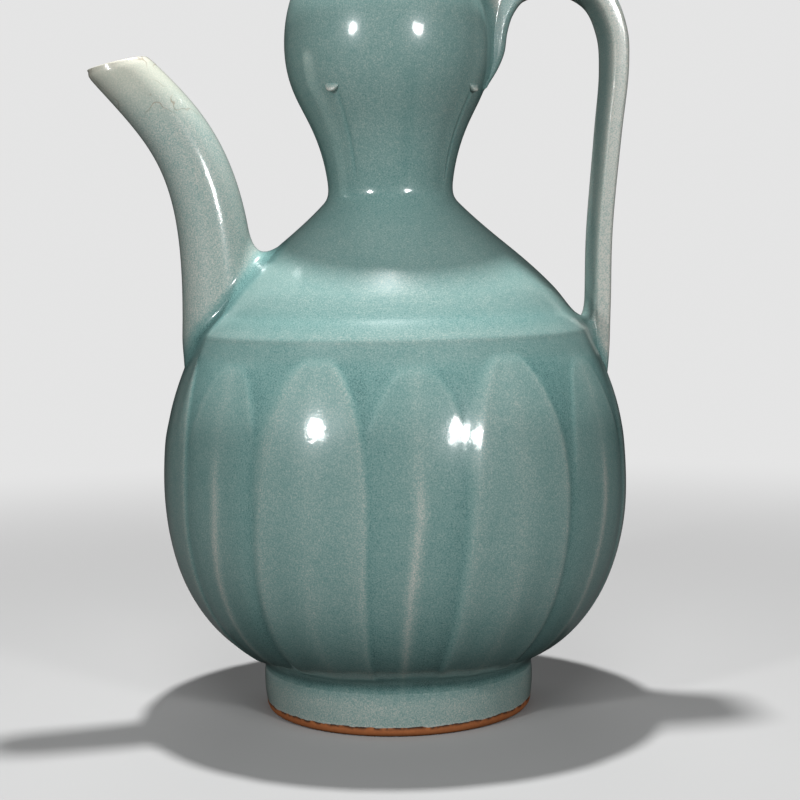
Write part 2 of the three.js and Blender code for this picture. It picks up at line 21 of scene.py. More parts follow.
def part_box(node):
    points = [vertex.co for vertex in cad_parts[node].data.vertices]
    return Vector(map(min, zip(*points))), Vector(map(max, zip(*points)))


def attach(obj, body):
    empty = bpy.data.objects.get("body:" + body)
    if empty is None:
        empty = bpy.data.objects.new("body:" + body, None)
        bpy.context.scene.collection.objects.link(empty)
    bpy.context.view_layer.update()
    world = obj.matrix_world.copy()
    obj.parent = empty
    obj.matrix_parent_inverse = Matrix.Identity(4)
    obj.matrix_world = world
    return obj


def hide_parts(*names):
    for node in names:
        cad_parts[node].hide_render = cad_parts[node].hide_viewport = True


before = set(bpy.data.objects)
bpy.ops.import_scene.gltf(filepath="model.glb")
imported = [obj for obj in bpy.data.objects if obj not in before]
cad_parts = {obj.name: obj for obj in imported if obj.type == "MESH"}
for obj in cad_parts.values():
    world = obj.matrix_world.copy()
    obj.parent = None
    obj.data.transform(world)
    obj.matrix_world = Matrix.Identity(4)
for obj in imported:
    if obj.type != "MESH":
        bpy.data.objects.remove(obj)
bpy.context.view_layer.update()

print("nodes:", sorted(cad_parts))

# %% [markdown]
# The pieces are measured in millimetres from the potter's own axis, which runs up
# through the middle of the foot ring. Each finished piece is then moved onto that axis
# and turned into metres in one step, so its object stays at the origin.

# %% Small helpers
MM = 0.001
foot_low, foot_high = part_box("foot_ring")
AXIS_X = (foot_low.x + foot_high.x) / 2


def mix(a, b, t):
    """The value a share t of the way from a to b."""
    return a + (b - a) * t


def clamp(x):
    return min(1.0, max(0.0, x))


def smooth(x):
    """A soft step from 0 to 1, as x goes from 0 to 1."""
    return clamp(x) ** 2 * (3 - 2 * clamp(x))


def add_object(name, data):
    made = bpy.data.objects.new(name, data)
    bpy.context.scene.collection.objects.link(made)
    return made


print("the axis stands at x =", round(AXIS_X / MM, 2), "mm")

# %% [markdown]
# The photograph was taken from a little above the ridge, 53 cm away, slightly to the
# spout's side of square on, with the camera tipped by about one degree. A long lens
# from that place keeps the foot's ellipse and the lean of the petals as they are seen.

# %% Camera
CAMERA_AZIMUTH = radians(-8)
CAMERA_YAW = radians(-0.198)
CAMERA_PITCH = radians(5.42)
CAMERA_ROLL = radians(-0.945)
CAMERA_DISTANCE = 529
CAMERA_HEIGHT = 144
SENSOR_WIDTH = 36
LENS = 78.21

camera = add_object("camera", bpy.data.cameras.new("camera"))
camera.data.sensor_width = SENSOR_WIDTH
camera.data.lens = LENS
camera.location = (
    AXIS_X + CAMERA_DISTANCE * MM * sin(CAMERA_AZIMUTH),
    -CAMERA_DISTANCE * MM * cos(CAMERA_AZIMUTH),
    CAMERA_HEIGHT * MM,
)
camera.rotation_mode = "QUATERNION"
camera.rotation_quaternion = (
    Matrix.Rotation(CAMERA_AZIMUTH + CAMERA_YAW, 3, "Z")
    @ Matrix.Rotation(pi / 2 - CAMERA_PITCH, 3, "X")
    @ Matrix.Rotation(CAMERA_ROLL, 3, "Z")
).to_quaternion()
bpy.context.scene.camera = camera
print("camera at", [round(x, 3) for x in camera.location])

# %% [markdown]
# ## The outline of the thrown body
#
# A pot has one outline, which the wheel turns into a surface. A few smooth stretches
# with two handles each give a fair line, which can be spaced as finely as the carving
# needs. These are its sizes. Points are (radius, height).

# %% Sizes of the body
FOOT_RADIUS = 41
FOOT_HEIGHT = 15.5
FOOT_WALL = 7
BASE_DEPTH = 6.5
BELLY_RADIUS = 70.4
BELLY_Z = FOOT_HEIGHT + 54
RIDGE_RADIUS = 60
RIDGE_Z = BELLY_Z + 45.7
RIDGE_SIZE = 0.9
WAIST_RADIUS = 18.4
WAIST_Z = RIDGE_Z + 40.6
CROWN_RADIUS = 31.2
CROWN_Z = WAIST_Z + 44.7
DOME_RISE = 37
MOUTH_RADIUS = 11.6
COLLAR_RISE = 7.2
BODY_WALL = 4.2
MOUTH_WALL = 3
print("belly", 2 * BELLY_RADIUS, "mm across at", BELLY_Z, "mm up, crown", CROWN_Z, "mm up")

# %% [markdown]
# The outline has five stretches: the bowl, the flank up to the ridge, the slope up to
# the waist, the crown, and the dome under the collar. The handles of the first four are
# given as shares of the stretch's own width and rise, so they follow the sizes above.

# %% Smooth stretches of the outline


def stretch(start, handle_a, handle_b, end, rows):
    """A smooth line from start to end, which two handles pull along."""
    knots = [Vector(p) for p in (start, handle_a, handle_b, end)]
    return [Vector(p) for p in interpolate_bezier(*knots, rows + 1)]


def span(start, end, leave, reach, rows):
    """A stretch whose two handles are given as shares of its width and its rise."""
    handles = [(mix(start[0], end[0], x), mix(start[1], end[1], z)) for x, z in (leave, reach)]
    return stretch(start, *handles, end, rows)


def bowl_line(rows):
    start = (FOOT_RADIUS + 0.3, FOOT_HEIGHT)
    return span(start, (BELLY_RADIUS, BELLY_Z), (0.6, 0.15), (1, 0.48), rows)


def flank_line(rows):
    end = (RIDGE_RADIUS - RIDGE_SIZE / 2, RIDGE_Z - RIDGE_SIZE)
    return span((BELLY_RADIUS, BELLY_Z), end, (0, 0.385), (0.22, 0.61), rows)


def slope_line(rows):
    start = (RIDGE_RADIUS - RIDGE_SIZE * 1.3, RIDGE_Z + RIDGE_SIZE * 0.8)
    return span(start, (WAIST_RADIUS, WAIST_Z), (0.382, 0.529), (0.692, 0.651), rows)


def crown_line(rows):
    end = (CROWN_RADIUS, CROWN_Z)
    return span((WAIST_RADIUS, WAIST_Z), end, (0.21875, 0.58), (1, 0.58), rows)


def dome_line(radius, rise, collar, rows):
    """Part of an ellipse, from the crown up to where the collar starts."""
    angles = [acos(collar / radius) * k / rows for k in range(rows + 1)]
    return [Vector((radius * cos(a), CROWN_Z + rise * sin(a))) for a in angles]


print("the slope's ends are", slope_line(1))

# %% [markdown]
# Where two stretches meet at a corner, wet clay and pooled glaze leave a small round
# instead: a tight hollow over the foot, and a wider one at the waist. The ridge is a soft
# corner with a shallow dip a few millimetres above it. Each round is one more stretch
# that starts and ends along its neighbours.

# %% Join the stretches


def round_corner(before, corner, after, rows):
    """The points between before and after, rounded towards the corner."""
    return stretch(before, mix(before, corner, 0.75), mix(after, corner, 0.75), after, rows)[1:-1]


SKIRT = Vector((FOOT_RADIUS, FOOT_HEIGHT - 2.6))
bowl_row, flank_row = bowl_line(54)[4:], flank_line(42)
slope_row, crown_row = slope_line(38)[9:-2], crown_line(50)[3:]
hollow = round_corner(SKIRT, Vector((FOOT_RADIUS, FOOT_HEIGHT + 0.1)), bowl_row[0], 7)
crest = Vector((RIDGE_RADIUS - 1.1, RIDGE_Z + 0.6))
dip = Vector((RIDGE_RADIUS - 5.15, RIDGE_Z + 5.35))
up_slope = (slope_row[1] - slope_row[0]).normalized()
up_dip = Vector((-0.72, 0.69))
ridge_knots = (
    (flank_row[-1], Vector((-0.2, 0.5)), Vector((-0.25, 0.4)), crest, 5),
    (crest, Vector((-1.2, 1.7)), 1.6 * up_dip, dip, 8),
    (dip, 2.6 * up_dip, 4 * up_slope, slope_row[0], 12),
)
ridge_row = []
for start, leave, reach, end, rows in ridge_knots:
    ridge_row += stretch(start, start + leave, end - reach, end, rows)[1:]
print("above the dip the slope starts at", [round(x, 1) for x in slope_row[0]])
waist = round_corner(slope_row[-1], Vector((WAIST_RADIUS, WAIST_Z)), crown_row[0], 12)
lower_wall = [SKIRT, *hollow, *bowl_row, *flank_row[1:], *ridge_row, *slope_row[1:], *waist[:6]]
dome_row = dome_line(CROWN_RADIUS, DOME_RISE, MOUTH_RADIUS, 46)
upper_wall = [*waist[5:], *crown_row, *dome_row[1:]]
print("rows:", len(lower_wall), "below the waist and", len(upper_wall), "above it")

# %% [markdown]
# ## Turning
#
# Spin sweeps a profile round the axis like a lathe. A full turn of a fine mesh is slow
# in one go, so a sector is spun, copied round and merged. Every vertex carries the
# number of its row, and its angle gives its column, so a carving can find it later.
# Columns are counted from the front, -Y, towards the handle.

# %% Turn a profile
MERGE_DISTANCE = 1e-4


def turn(profile, sectors, steps, closed=False):
    """Sweeps a profile of (radius, height) points round the axis."""
    bm = bmesh.new()
    row = bm.verts.layers.int.new("row")
    bm.verts.layers.float.new("glaze")
    verts = [bm.verts.new((0, -p[0], p[1])) for p in profile]
    for k, v in enumerate(verts):
        v[row] = k
    others = verts[1:] + verts[:1] if closed else verts[1:]
    edges = [bm.edges.new(pair) for pair in zip(verts, others)]
    bmesh.ops.spin(
        bm,
        geom=verts + edges,
        cent=(0, 0, 0),
        axis=(0, 0, 1),
        angle=tau / sectors,
        steps=steps,
        use_merge=False,
    )
    spun = bm.verts[:] + bm.edges[:] + bm.faces[:]
    for k in range(1, sectors):
        copy = bmesh.ops.duplicate(bm, geom=spun)["geom"]
        copied = [g for g in copy if isinstance(g, bmesh.types.BMVert)]
        around = Matrix.Rotation(tau * k / sectors, 3, "Z")
        bmesh.ops.rotate(bm, verts=copied, cent=(0, 0, 0), matrix=around)
    bmesh.ops.remove_doubles(bm, verts=bm.verts, dist=MERGE_DISTANCE)
    bmesh.ops.recalc_face_normals(bm, faces=bm.faces)
    return bm


def angle_of(v):
    return atan2(v.co.x, -v.co.y) % tau


# %% [markdown]
# A finished piece goes from the potter's axis and millimetres to the shared frame. It
# rides on its body, and the plain pieces of the imported model in its place are hidden.
# Faces are shaded as one smooth skin, except across an edge that turns by more than 55 degrees.

# %% Finish a piece
SHARP_ANGLE = radians(55)
pieces = {}


def add_mesh(name, bm):
    mesh = bpy.data.meshes.new(name)
    bm.to_mesh(mesh)
    bm.free()
    return add_object(name, mesh)


def finish_piece(bm, name, body, slot, *nodes):
    bmesh.ops.scale(bm, verts=bm.verts, vec=(MM, MM, MM))
    bmesh.ops.translate(bm, verts=bm.verts, vec=(AXIS_X, 0, 0))
    for face in bm.faces:
        face.smooth = True
    for edge in bm.edges:
        edge.smooth = edge.calc_face_angle(0) < SHARP_ANGLE
    piece = add_mesh(name, bm)
    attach(piece, body)
    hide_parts(*nodes)
    pieces[name] = piece
    triangles = sum(len(p.vertices) - 2 for p in piece.data.polygons)
    print(name, "has", triangles, "triangles")


# %% [markdown]
# ## Hand-made unevenness
#
# A thrown wall is never a perfect surface of revolution. A slow noise of about a tenth
# of a millimetre bends the reflections of the lamps as the real wall does. It depends
# only on the place, so pieces that share an edge still meet.

# %% Unevenness of the wall
WOBBLE_DEPTH = 0.13
WOBBLE_LENGTH = 17


def wobble(angle, radius, z):
    """How far the wall stands out, in millimetres, at a place on it."""
    spot = Vector((radius * sin(angle), -radius * cos(angle), z))
    return WOBBLE_DEPTH * noise.noise(spot / WOBBLE_LENGTH)


print("wobble at the belly's front:", round(wobble(0, BELLY_RADIUS, BELLY_Z), 3), "mm")

# %% [markdown]
# ## Lotus petals
#
# Seven front petals overlap seven back petals, of which only the middles show. The
# carver cut the ground away round each arched tip, left the right edge crisp and the
# left one soft, hollowed the petal a little and let a rib stand in the middle. Half a
# petal is written down as a few marks round the pot, each with the depth of the cut and
# the thickness of the glaze: thin and pale on ribs and edges, thick in the corners. The
# marks move with the height, so they draw the arches.

# %% Marks of half a petal
PETAL_CENTRES = (22.5, 79.5, 130, 180, 229.5, 279.5, 332.3)
PETAL_TIP = RIDGE_Z - 3.8
BACK_TIP = RIDGE_Z - 6.2
PETAL_ARCH = 42
PETAL_HALF_ANGLE = 13.4
PETAL_END = 19.2
RIB_Z = 88
GROUND_CUT = 0.46
GROUND_FILM = 0.6
FRONT_RIB = 0.08
BACK_FIELD = 0.3
BACK_SLOPE = 2.4
BACK_CLEAR = 0.4
TIP_FADE = 2.4


def lowness(z):
    """0 from the belly's widest line up, and 1 at the foot."""
    return clamp((BELLY_Z - z) / (BELLY_Z - FOOT_HEIGHT))


def arch(z, tip, height, half_angle):
    """Half the angle that an arched petal takes up at a height."""
    depth = clamp((tip - z) / height)
    return max(1.5, half_angle * (1 - (1 - depth) ** 2.2) ** 0.48)


def half_petal(z, gap, crisp):
    """Marks from a back petal's rib to the front petal's rib: angles, cuts, glaze."""
    low = lowness(z)
    front = arch(z, PETAL_TIP, PETAL_ARCH, PETAL_HALF_ANGLE) + low
    edge = min(0.3 * front, 0.5 if crisp else mix(1.9, 0.9, smooth((RIB_Z - z) / 25)))
    seam = gap - front - edge
    back = min(seam - BACK_CLEAR, arch(z, BACK_TIP, PETAL_ARCH, PETAL_HALF_ANGLE))
    bare = smooth((seam - BACK_CLEAR - back) / 2)
    here, back_here = (smooth((tip - z) / TIP_FADE) for tip in (PETAL_TIP, BACK_TIP))
    stand, back_stand = smooth(low * 1.6), smooth((RIB_Z - z) / 18)
    rib_film = mix(0.48, 0.14, back_stand)
    inner = seam + 2 * edge
    pooled = mix(0.72, GROUND_FILM + (0.08 if crisp else 0.16), bare)
    hollow = mix(0.15, 0.26, stand)
    marks = (  # angle, cut, glaze, and how far the arch has opened
        (0, BACK_FIELD - 0.1 * back_stand, rib_film, back_here),
        (0.7, BACK_FIELD - 0.08 * back_stand, mix(rib_film, 0.54, 0.5), back_here),
        (BACK_SLOPE, BACK_FIELD, 0.56, back_here),
        (mix(BACK_SLOPE, back, 0.6), 0.31, 0.6, back_here),
        (back - 0.5, mix(0.45, 0.25, bare), mix(0.66, 0.52, bare), back_here),
        (back + 0.3, GROUND_CUT, pooled, back_here),
        (seam, GROUND_CUT, 0.76 if crisp else 0.68, here),
        (inner, 0.04, 0.36 if crisp else 0.42, here),
        (mix(inner, gap, 0.12), FRONT_RIB, 0.47, here),
        (mix(inner, gap, 0.4), hollow, 0.53, here),
        (mix(inner, gap, 0.55), mix(hollow, FRONT_RIB, 0.15), 0.53, here),
        (mix(inner, gap, 0.7), mix(hollow, FRONT_RIB, 0.55), 0.51, here),
        (mix(inner, gap, 0.85), mix(hollow, FRONT_RIB, 0.88), 0.49, here),
        (gap, FRONT_RIB, mix(0.47, 0.4, stand), here),
    )
    place, cut, film, share = np.array(marks).T
    return place, mix(GROUND_CUT, cut, share), mix(GROUND_FILM, film, share)


print("cuts of half a petal at the belly:", half_petal(BELLY_Z, 25, True)[1].round(2))

# %% [markdown]
# Read along one height, the marks of all the petals make a line of depths round the
# pot. Every column of the mesh takes the mean over its own width, which keeps a slanted
# edge free of steps. The petals lean a little to one side towards the foot.

# %% One row of petals
LOWER_COLUMNS = 504
PETAL_LEAN = 3
RIB_LEAN = 1.1


def sample(marks, columns):
    """Means of (angle, depth, glaze) marks over the widths of evenly spaced columns."""
    place, cut, film = marks
    finer = (np.arange(columns)[:, None] + np.linspace(-0.6, 0.6, 7)) * 360 / columns
    return [np.interp(finer, place, values, period=360).mean(1) for values in (cut, film)]


def petal_row(z):
    """Cut and glaze of every column at one height, from the marks of all petals."""
    lean, rib_lean = PETAL_LEAN * lowness(z), RIB_LEAN * smooth(lowness(z) * 2)
    ring = (PETAL_CENTRES[-1] - 360, *PETAL_CENTRES, PETAL_CENTRES[0] + 360)
    marks = []
    for before, centre, after in zip(ring, ring[1:], ring[2:]):
        for other, side in ((before, -1), (after, 1)):
            gap = abs(other - centre) / 2
            place, cut, film = half_petal(z, gap, side > 0)
            shift = lean + rib_lean * np.clip(1 - place / 9, 0, 1)
            marks.append((centre + side * (gap - place) - shift, cut, film))
    return sample(np.hstack(marks), LOWER_COLUMNS)


print("deepest cut at the belly:", petal_row(BELLY_Z)[0].max().round(2), "mm")

# %% [markdown]
# The petals end in a scalloped edge just above the foot, under which a narrow band of
# thick glaze lies in the hollow, made darker still as painted shade under the bowl. Down
# the bowl the glaze thickens towards the foot, which is painted shade of the underside.
# Under the ridge the ground runs out softly, which leaves the ridge standing. Glaze
# thinned on the ridge and pooled in the dip over it, and it thickens up the slope to the
# waist, partly as painted shade under the upper bulb. Where the spout and the handle will
# be luted on, the wall stays plain, because the potter's thumb wiped the petals away there.

# %% Carve the lower bulb
THUMB_HALF_WIDTH = 13
THUMB_Z = RIDGE_Z - 24
THUMB_CUT = 0.35
LOW_Z = 52
UNDERSIDE_SHADE_FILM = 0.13
SCALLOP = 0.8
BAND_CUT = 0.62
BAND_FILM_AND_SHADE = 0.8
SLOPE_FILMS_AND_SHADE = (0.53, 0.61)


def slope_film_and_shade(z):
    """Glaze over the ridge: thin on it, pooled in the dip, thicker up to the waist, partly as
    painted shade under the upper bulb.
    """
    pooled = 0.1 * exp(-(((z - dip.y) / 3) ** 2))
    thin_crest = 0.04 * exp(-(((z - crest.y - 0.6) / 1.2) ** 2))
    # the rise towards the waist is partly painted shade under the upper bulb
    return mix(*SLOPE_FILMS_AND_SHADE, smooth((z - WAIST_Z + 14) / 14)) + pooled - thin_crest


def carve_lower(z):
    """Cut and glaze of every column of the lower bulb at one height."""
    if z > RIDGE_Z + 5:
        return np.zeros(LOWER_COLUMNS), np.full(LOWER_COLUMNS, slope_film_and_shade(z))
    cut, film = petal_row(z)
    angle = np.arange(LOWER_COLUMNS) * 360 / LOWER_COLUMNS
    # plain under the thumb, and running out under the ridge
    beside = RIDGE_RADIUS * np.radians(np.minimum(abs(angle - 270), abs(angle - 90)))
    kept = np.array([smooth((b - THUMB_HALF_WIDTH) / 5) for b in beside])
    cut = mix(THUMB_CUT, cut, mix(kept, 1, smooth((THUMB_Z - z) / 8)))
    cut = cut * smooth((RIDGE_Z + 0.5 - z) / 7)
    film = mix(slope_film_and_shade(z), film, smooth((RIDGE_Z + 0.3 - z) / 2.4))
    # the glaze thickens towards the foot: painted shade of the bowl's underside
    film = film + UNDERSIDE_SHADE_FILM * smooth((LOW_Z - z) / 34)
    # the scalloped ends, and the band of thick glaze below them, darker still as painted shade
    # under the bowl
    scallop = SCALLOP * np.cos(len(PETAL_CENTRES) * np.radians(angle + 2.6))
    below = np.array([smooth((PETAL_END + s - z) / 2.6) for s in scallop])
    band = BAND_CUT * smooth((z - FOOT_HEIGHT + 0.5) / 3)
    thick = mix(0.56, BAND_FILM_AND_SHADE, smooth((z - SKIRT.y) / 2))
    return mix(cut, band, below), mix(film, mix(film, thick, 0.7), below)


print("least cut at the belly:", carve_lower(BELLY_Z)[0].min().round(2), "mm")

# %% [markdown]
# The bulb is turned first, base, outside and inside in one profile, with as many columns
# as the carving has. Then every vertex of the outside is pushed in by its cut, square to
# the wall, and takes its thickness of glaze. The inside stays as it was thrown.

# %% Shape the lower bulb
PLAIN_FILM = 0.45


def offset(line, distance):
    """The line moved square to itself, outwards for a positive distance."""
    moved = []
    for k, p in enumerate(line):
        along = (line[min(k + 1, len(line) - 1)] - line[max(k - 1, 0)]).normalized()
        moved.append(Vector((p.x + along.y * distance, p.y - along.x * distance)))
    return moved


def shape_wall(bm, wall, first, columns, carve):
    """Puts every vertex of the outside rows in its carved place."""
    row, glaze = bm.verts.layers.int["row"], bm.verts.layers.float["glaze"]
    outward = [(b - a).normalized() for a, b in zip(wall, offset(wall, 1))]
    carved = [carve(p.y) for p in wall]
    for v in bm.verts:
        k = v[row] - first
        if not 0 <= k < len(wall):
            v[glaze] = PLAIN_FILM
            continue
        angle = angle_of(v)
        column = round(angle / tau * columns) % columns
        cut, v[glaze] = (float(values[column]) for values in carved[k])
        cut -= wobble(angle, wall[k].x, wall[k].y)
        r, z = wall[k] - outward[k] * cut
        v.co = (r * sin(angle), -r * cos(angle), z)


boss = FOOT_RADIUS - FOOT_WALL - 0.3
base = [
    (0, FOOT_HEIGHT - BASE_DEPTH),
    (boss - 0.8, FOOT_HEIGHT - BASE_DEPTH),
    (boss, FOOT_HEIGHT - BASE_DEPTH + 0.8),
    (boss, FOOT_HEIGHT),
    (FOOT_RADIUS - 1.2, FOOT_HEIGHT),
    (FOOT_RADIUS - 1.2, SKIRT.y),
]
inside = [(WAIST_RADIUS - BODY_WALL, lower_wall[-1].y)]
for line in (slope_line(7), flank_line(4), bowl_line(8)):
    inside += reversed(offset(line, -BODY_WALL)[:-1])
inside.append((0, inside[-1].y - 1.2))
lower_bulb = turn([*base, *lower_wall, *inside], 12, LOWER_COLUMNS // 12)
shape_wall(lower_bulb, lower_wall, len(base), LOWER_COLUMNS, carve_lower)
print("lower bulb:", len(lower_bulb.verts), "vertices in", LOWER_COLUMNS, "columns")

# %% [markdown]
# ## The upper bulb
#
# Four calyx petals rise from the waist, and their tips curl out as small beads. Under
# the thick glaze hardly more shows than a soft vein under each bead and another where
# two petals meet, so this relief is only about a quarter of a millimetre deep.

# %% Carve the upper bulb
CALYX_COUNT = 4
CALYX_TURN = 5.6
CALYX_TIP = CROWN_Z - 12.5
CALYX_ARCH = 24
CALYX_CUT = 0.14
CALYX_FILM = 0.52
UPPER_COLUMNS = 288


def carve_upper(z):
    """Cut and glaze of every column of the upper bulb at one height."""
    gap = 180 / CALYX_COUNT
    here = smooth((CALYX_TIP - z) / 4)
    half = arch(z, CALYX_TIP, CALYX_ARCH, gap * 0.72)
    field = mix(CALYX_CUT, 0.1, here)
    marks = (  # angle, cut, glaze
        (0, 0.2, 0.6),
        (2.5, 0.17, 0.57),
        (7, CALYX_CUT, CALYX_FILM),
        (gap - half - 3, CALYX_CUT, CALYX_FILM),
        (gap - half + 4, field, mix(CALYX_FILM, 0.49, here)),
        (gap - 5, field, 0.5),
        (gap - 1.6, field, 0.5),
        (gap, mix(0.12, 0.34, here), mix(0.47, 0.72, here)),
    )
    place, cut, film = np.array(marks).T
    turns = [CALYX_TURN + 2 * gap * k for k in range(CALYX_COUNT)]
    sides = [(t + side * place, cut, film) for t in turns for side in (-1, 1)]
    cut, film = sample(np.hstack(sides), UPPER_COLUMNS)
    shown = smooth((z - WAIST_Z - 2) / 8) * smooth((CROWN_Z - 1 - z) / 12)
    collar = smooth((z - CROWN_Z - DOME_RISE * 0.8) / 8)
    low = smooth((WAIST_Z + 26 - z) / 24)
    return cut * shown, mix(mix(CALYX_FILM, film, shown) + 0.08 * low, 0.3, collar)


deepest = max(carve_upper(p.y)[0].max() for p in crown_row)
print("deepest vein:", deepest.round(2), "mm")

# %% [markdown]
# The collar flares a little and ends in a flat lip that carries the lid. The profile
# goes up the outside, over the lip and down the inside, and closes at the waist, where
# this bulb stands on the lower one with the way open between them.

# %% Shape the upper bulb
collar_z = dome_row[-1].y
mouth_z = collar_z + COLLAR_RISE
bore = MOUTH_RADIUS - MOUTH_WALL
lip = [
    (MOUTH_RADIUS + 0.1, mix(collar_z, mouth_z, 0.3)),
    (MOUTH_RADIUS + 0.25, mix(collar_z, mouth_z, 0.6)),
    (MOUTH_RADIUS + 0.5, mix(collar_z, mouth_z, 0.85)),
    (MOUTH_RADIUS + 0.3, mouth_z - 0.35),
    (MOUTH_RADIUS - 0.2, mouth_z),
    (bore + 0.2, mouth_z),
    (bore, mouth_z - 0.2),
]
inner_dome = dome_line(CROWN_RADIUS - BODY_WALL, DOME_RISE - BODY_WALL, bore, 12)
throat = [
    *reversed(inner_dome),
    *reversed(offset(crown_line(12), -BODY_WALL)[1:-1]),
    (WAIST_RADIUS - BODY_WALL, upper_wall[0].y),
]
upper_bulb = turn([*upper_wall, *lip, *throat], 8, UPPER_COLUMNS // 8, closed=True)
shape_wall(upper_bulb, upper_wall, 0, UPPER_COLUMNS, carve_upper)
print("upper bulb:", len(upper_bulb.verts), "vertices in", UPPER_COLUMNS, "columns")

# %% [markdown]
# ## The foot ring
#
# The foot was turned from the thick base: an upright wall, very slightly waisted, with
# its lower edge bevelled and its top hidden in the hollow under the bowl.

# %% Foot ring
FOOT_FILMS = (0.34, 0.5)


def stretches(knots_and_rows, radius, height):
    """Stretches whose knots are counted from one radius and height."""
    points = []
    for *knots, rows in knots_and_rows:
        points += stretch(*((radius + x, height + z) for x, z in knots), rows)
    return points


inner = FOOT_RADIUS - FOOT_WALL
foot_side = (
    ((-1.9, 0.05), (-0.9, 0.3), (-0.45, 1.2), (-0.3, 2.2), 8),
    ((-0.25, 3), (0.15, 6), (0.45, 9), (0, SKIRT.y), 12),
)
foot_outline = [
    (inner, FOOT_HEIGHT - 0.3),
    (inner, 6.2),
    (inner - 0.5, 1.2),
    (inner - 0.5, 0.4),
    (inner, 0),
    (FOOT_RADIUS - 2.3, 0),
    *stretches(foot_side, FOOT_RADIUS, 0),
    (FOOT_RADIUS - 1.5, SKIRT.y),
    (FOOT_RADIUS - 1.5, FOOT_HEIGHT - 0.3),
]
foot = turn(foot_outline, 6, 40, closed=True)
glaze = foot.verts.layers.float["glaze"]
for v in foot.verts:
    v[glaze] = mix(*FOOT_FILMS, smooth((v.co.z - 9) / 4)) * smooth((v.co.z - 1.5) / 2.5)
    if v.co.z > 1:
        v.co.xy *= 1 + wobble(angle_of(v), FOOT_RADIUS, v.co.z) / FOOT_RADIUS
finish_piece(foot, "foot", "body", "celadon_glaze", "foot_ring")

# %% [markdown]
# ## Curled petal tips
#
# Each calyx petal ends in a pinched tip that curls out of the wall: a blunt little
# ledge with a pale lower edge, from which a ridge dies away upwards. A sphere does for
# it, drawn up into a long flat tail and squeezed below.

# %% Petal tips
TIP_Z = CROWN_Z - 13.7
TIP_TURNS = (-1.3, 1.3, -3.4, 1.3)
TIP_SINK = 0.25
TIP_SPAN = 3
TAIL_RISE = 3.4
BEAD_DROP = 0.7
TIP_FILM = 0.52


def wall_radius(z):
    """Radius of the upper bulb's outside at a height."""
    return float(np.interp(z, [p.y for p in upper_wall], [p.x for p in upper_wall]))


wall_low, wall_high = (wall_radius(TIP_Z + d) for d in (-TIP_SPAN, TIP_SPAN))
tip_lean = atan2(wall_high - wall_low, 2 * TIP_SPAN)
for k in range(CALYX_COUNT):
    curl = bmesh.new()
    glaze = curl.verts.layers.float.new("glaze")
    bmesh.ops.create_uvsphere(curl, u_segments=36, v_segments=26, radius=1)
    for v in curl.verts:
        x, y, z = v.co
        tail = smooth(z * 1.3)
        crescent = 0.9 * y * y * (1 - tail)
        height = z * (TAIL_RISE if z > 0 else BEAD_DROP)
        bared = smooth(0.9 + x - tail * 2) * smooth(1 - 2 * z) * (1 - 0.75 * y * y)
        v[glaze] = mix(TIP_FILM, 0.0, bared)
        v.co = (
            (x * mix(1.4, 0.3, tail) + 0.35 * (1 - tail)) * (1 - 0.45 * y * y) - 0.9 * tail,
            y * mix(2.3, 0.8, tail),
            height - 0.5 + crescent,
        )
    turned = tau * (k + 0.5) / CALYX_COUNT + radians(CALYX_TURN + TIP_TURNS[k])
    out = Matrix.Translation((wall_radius(TIP_Z) - TIP_SINK, 0, TIP_Z))
    moved = Matrix.Rotation(turned, 4, "Z") @ out @ Matrix.Rotation(tip_lean, 4, "Y")
    bmesh.ops.transform(curl, matrix=moved, verts=curl.verts)
    finish_piece(curl, f"curled_tip_{k + 1}", "body", "celadon_glaze", f"petal_tip_{k + 1}")

# %% [markdown]
# ## Drawn pieces: the spout and the handle
#
# The spout was rolled round a rod and the handle pulled as a strap, and both were bent
# and pressed onto the body. Here each starts as a plain upright column whose heights
# are row numbers. A line in the upright plane then says where each row goes.

# %% Lines in the upright plane


class Line:
    """A smooth line of (x, z) points that is read by the distance along it."""

    def __init__(self, points):
        self.points = np.array([tuple(p) for p in points])
        steps = np.hypot(*np.diff(self.points, axis=0).T)
        self.marks = np.concatenate([[0], np.cumsum(steps)])
        self.length = float(self.marks[-1])
        self.tangents = np.gradient(self.points, self.marks, axis=0)

    def at(self, s, x, y):
        """The point x towards the line's inner side and y across the pot, s along it."""
        px, pz, tx, tz = (
            float(np.interp(s, self.marks, column))
            for column in (*self.points.T, *self.tangents.T)
        )
        size = hypot(tx, tz)
        return Vector((px + tz / size * x, y, pz - tx / size * x))


SPOUT_X = -(RIDGE_RADIUS - 7)
SPOUT_LEAN = radians(46)
SPOUT_BEYOND = 8
spout_root = Vector((SPOUT_X, RIDGE_Z - 17.2))
spout_mouth = Vector((SPOUT_X - 27.2, CROWN_Z - 5.3))
spout_rise = spout_mouth.y - spout_root.y
spout_line = Line(
    stretch(
        spout_root,
        spout_root + Vector((4, spout_rise * 0.72)),
        (mix(spout_root.x, spout_mouth.x, 0.3), spout_root.y + spout_rise * 0.78),
        spout_mouth + SPOUT_BEYOND * Vector((-sin(SPOUT_LEAN), cos(SPOUT_LEAN))),
        300,
    )
)
print("the spout's line is", round(spout_line.length, 1), "mm long")

# %% [markdown]
# The handle's line passes through the same row of points as the curve of the packed
# model. Each span between two points becomes a smooth stretch, whose handles follow
# from the neighbours, more gently where the points lie close.

# %% The strap's line


def through(points, rows):
    """A smooth line through all the points, with a number of rows to each span."""
    points = [Vector(p) for p in points]
    ends = [2 * points[0] - points[1], *points, 2 * points[-1] - points[-2]]
    line = [points[0]]
    for a, b, c, d in zip(ends, ends[1:], ends[2:], ends[3:]):
        before, here, after = ((q - p).length ** 0.5 for p, q in ((a, b), (b, c), (c, d)))
        leave = ((b - a) / before - (c - a) / (before + here) + (c - b) / here) * here
        reach = ((c - b) / here - (d - b) / (here + after) + (d - c) / after) * here
        line += stretch(b, b + leave / 3, c - reach / 3, c, rows)[1:]
    return line


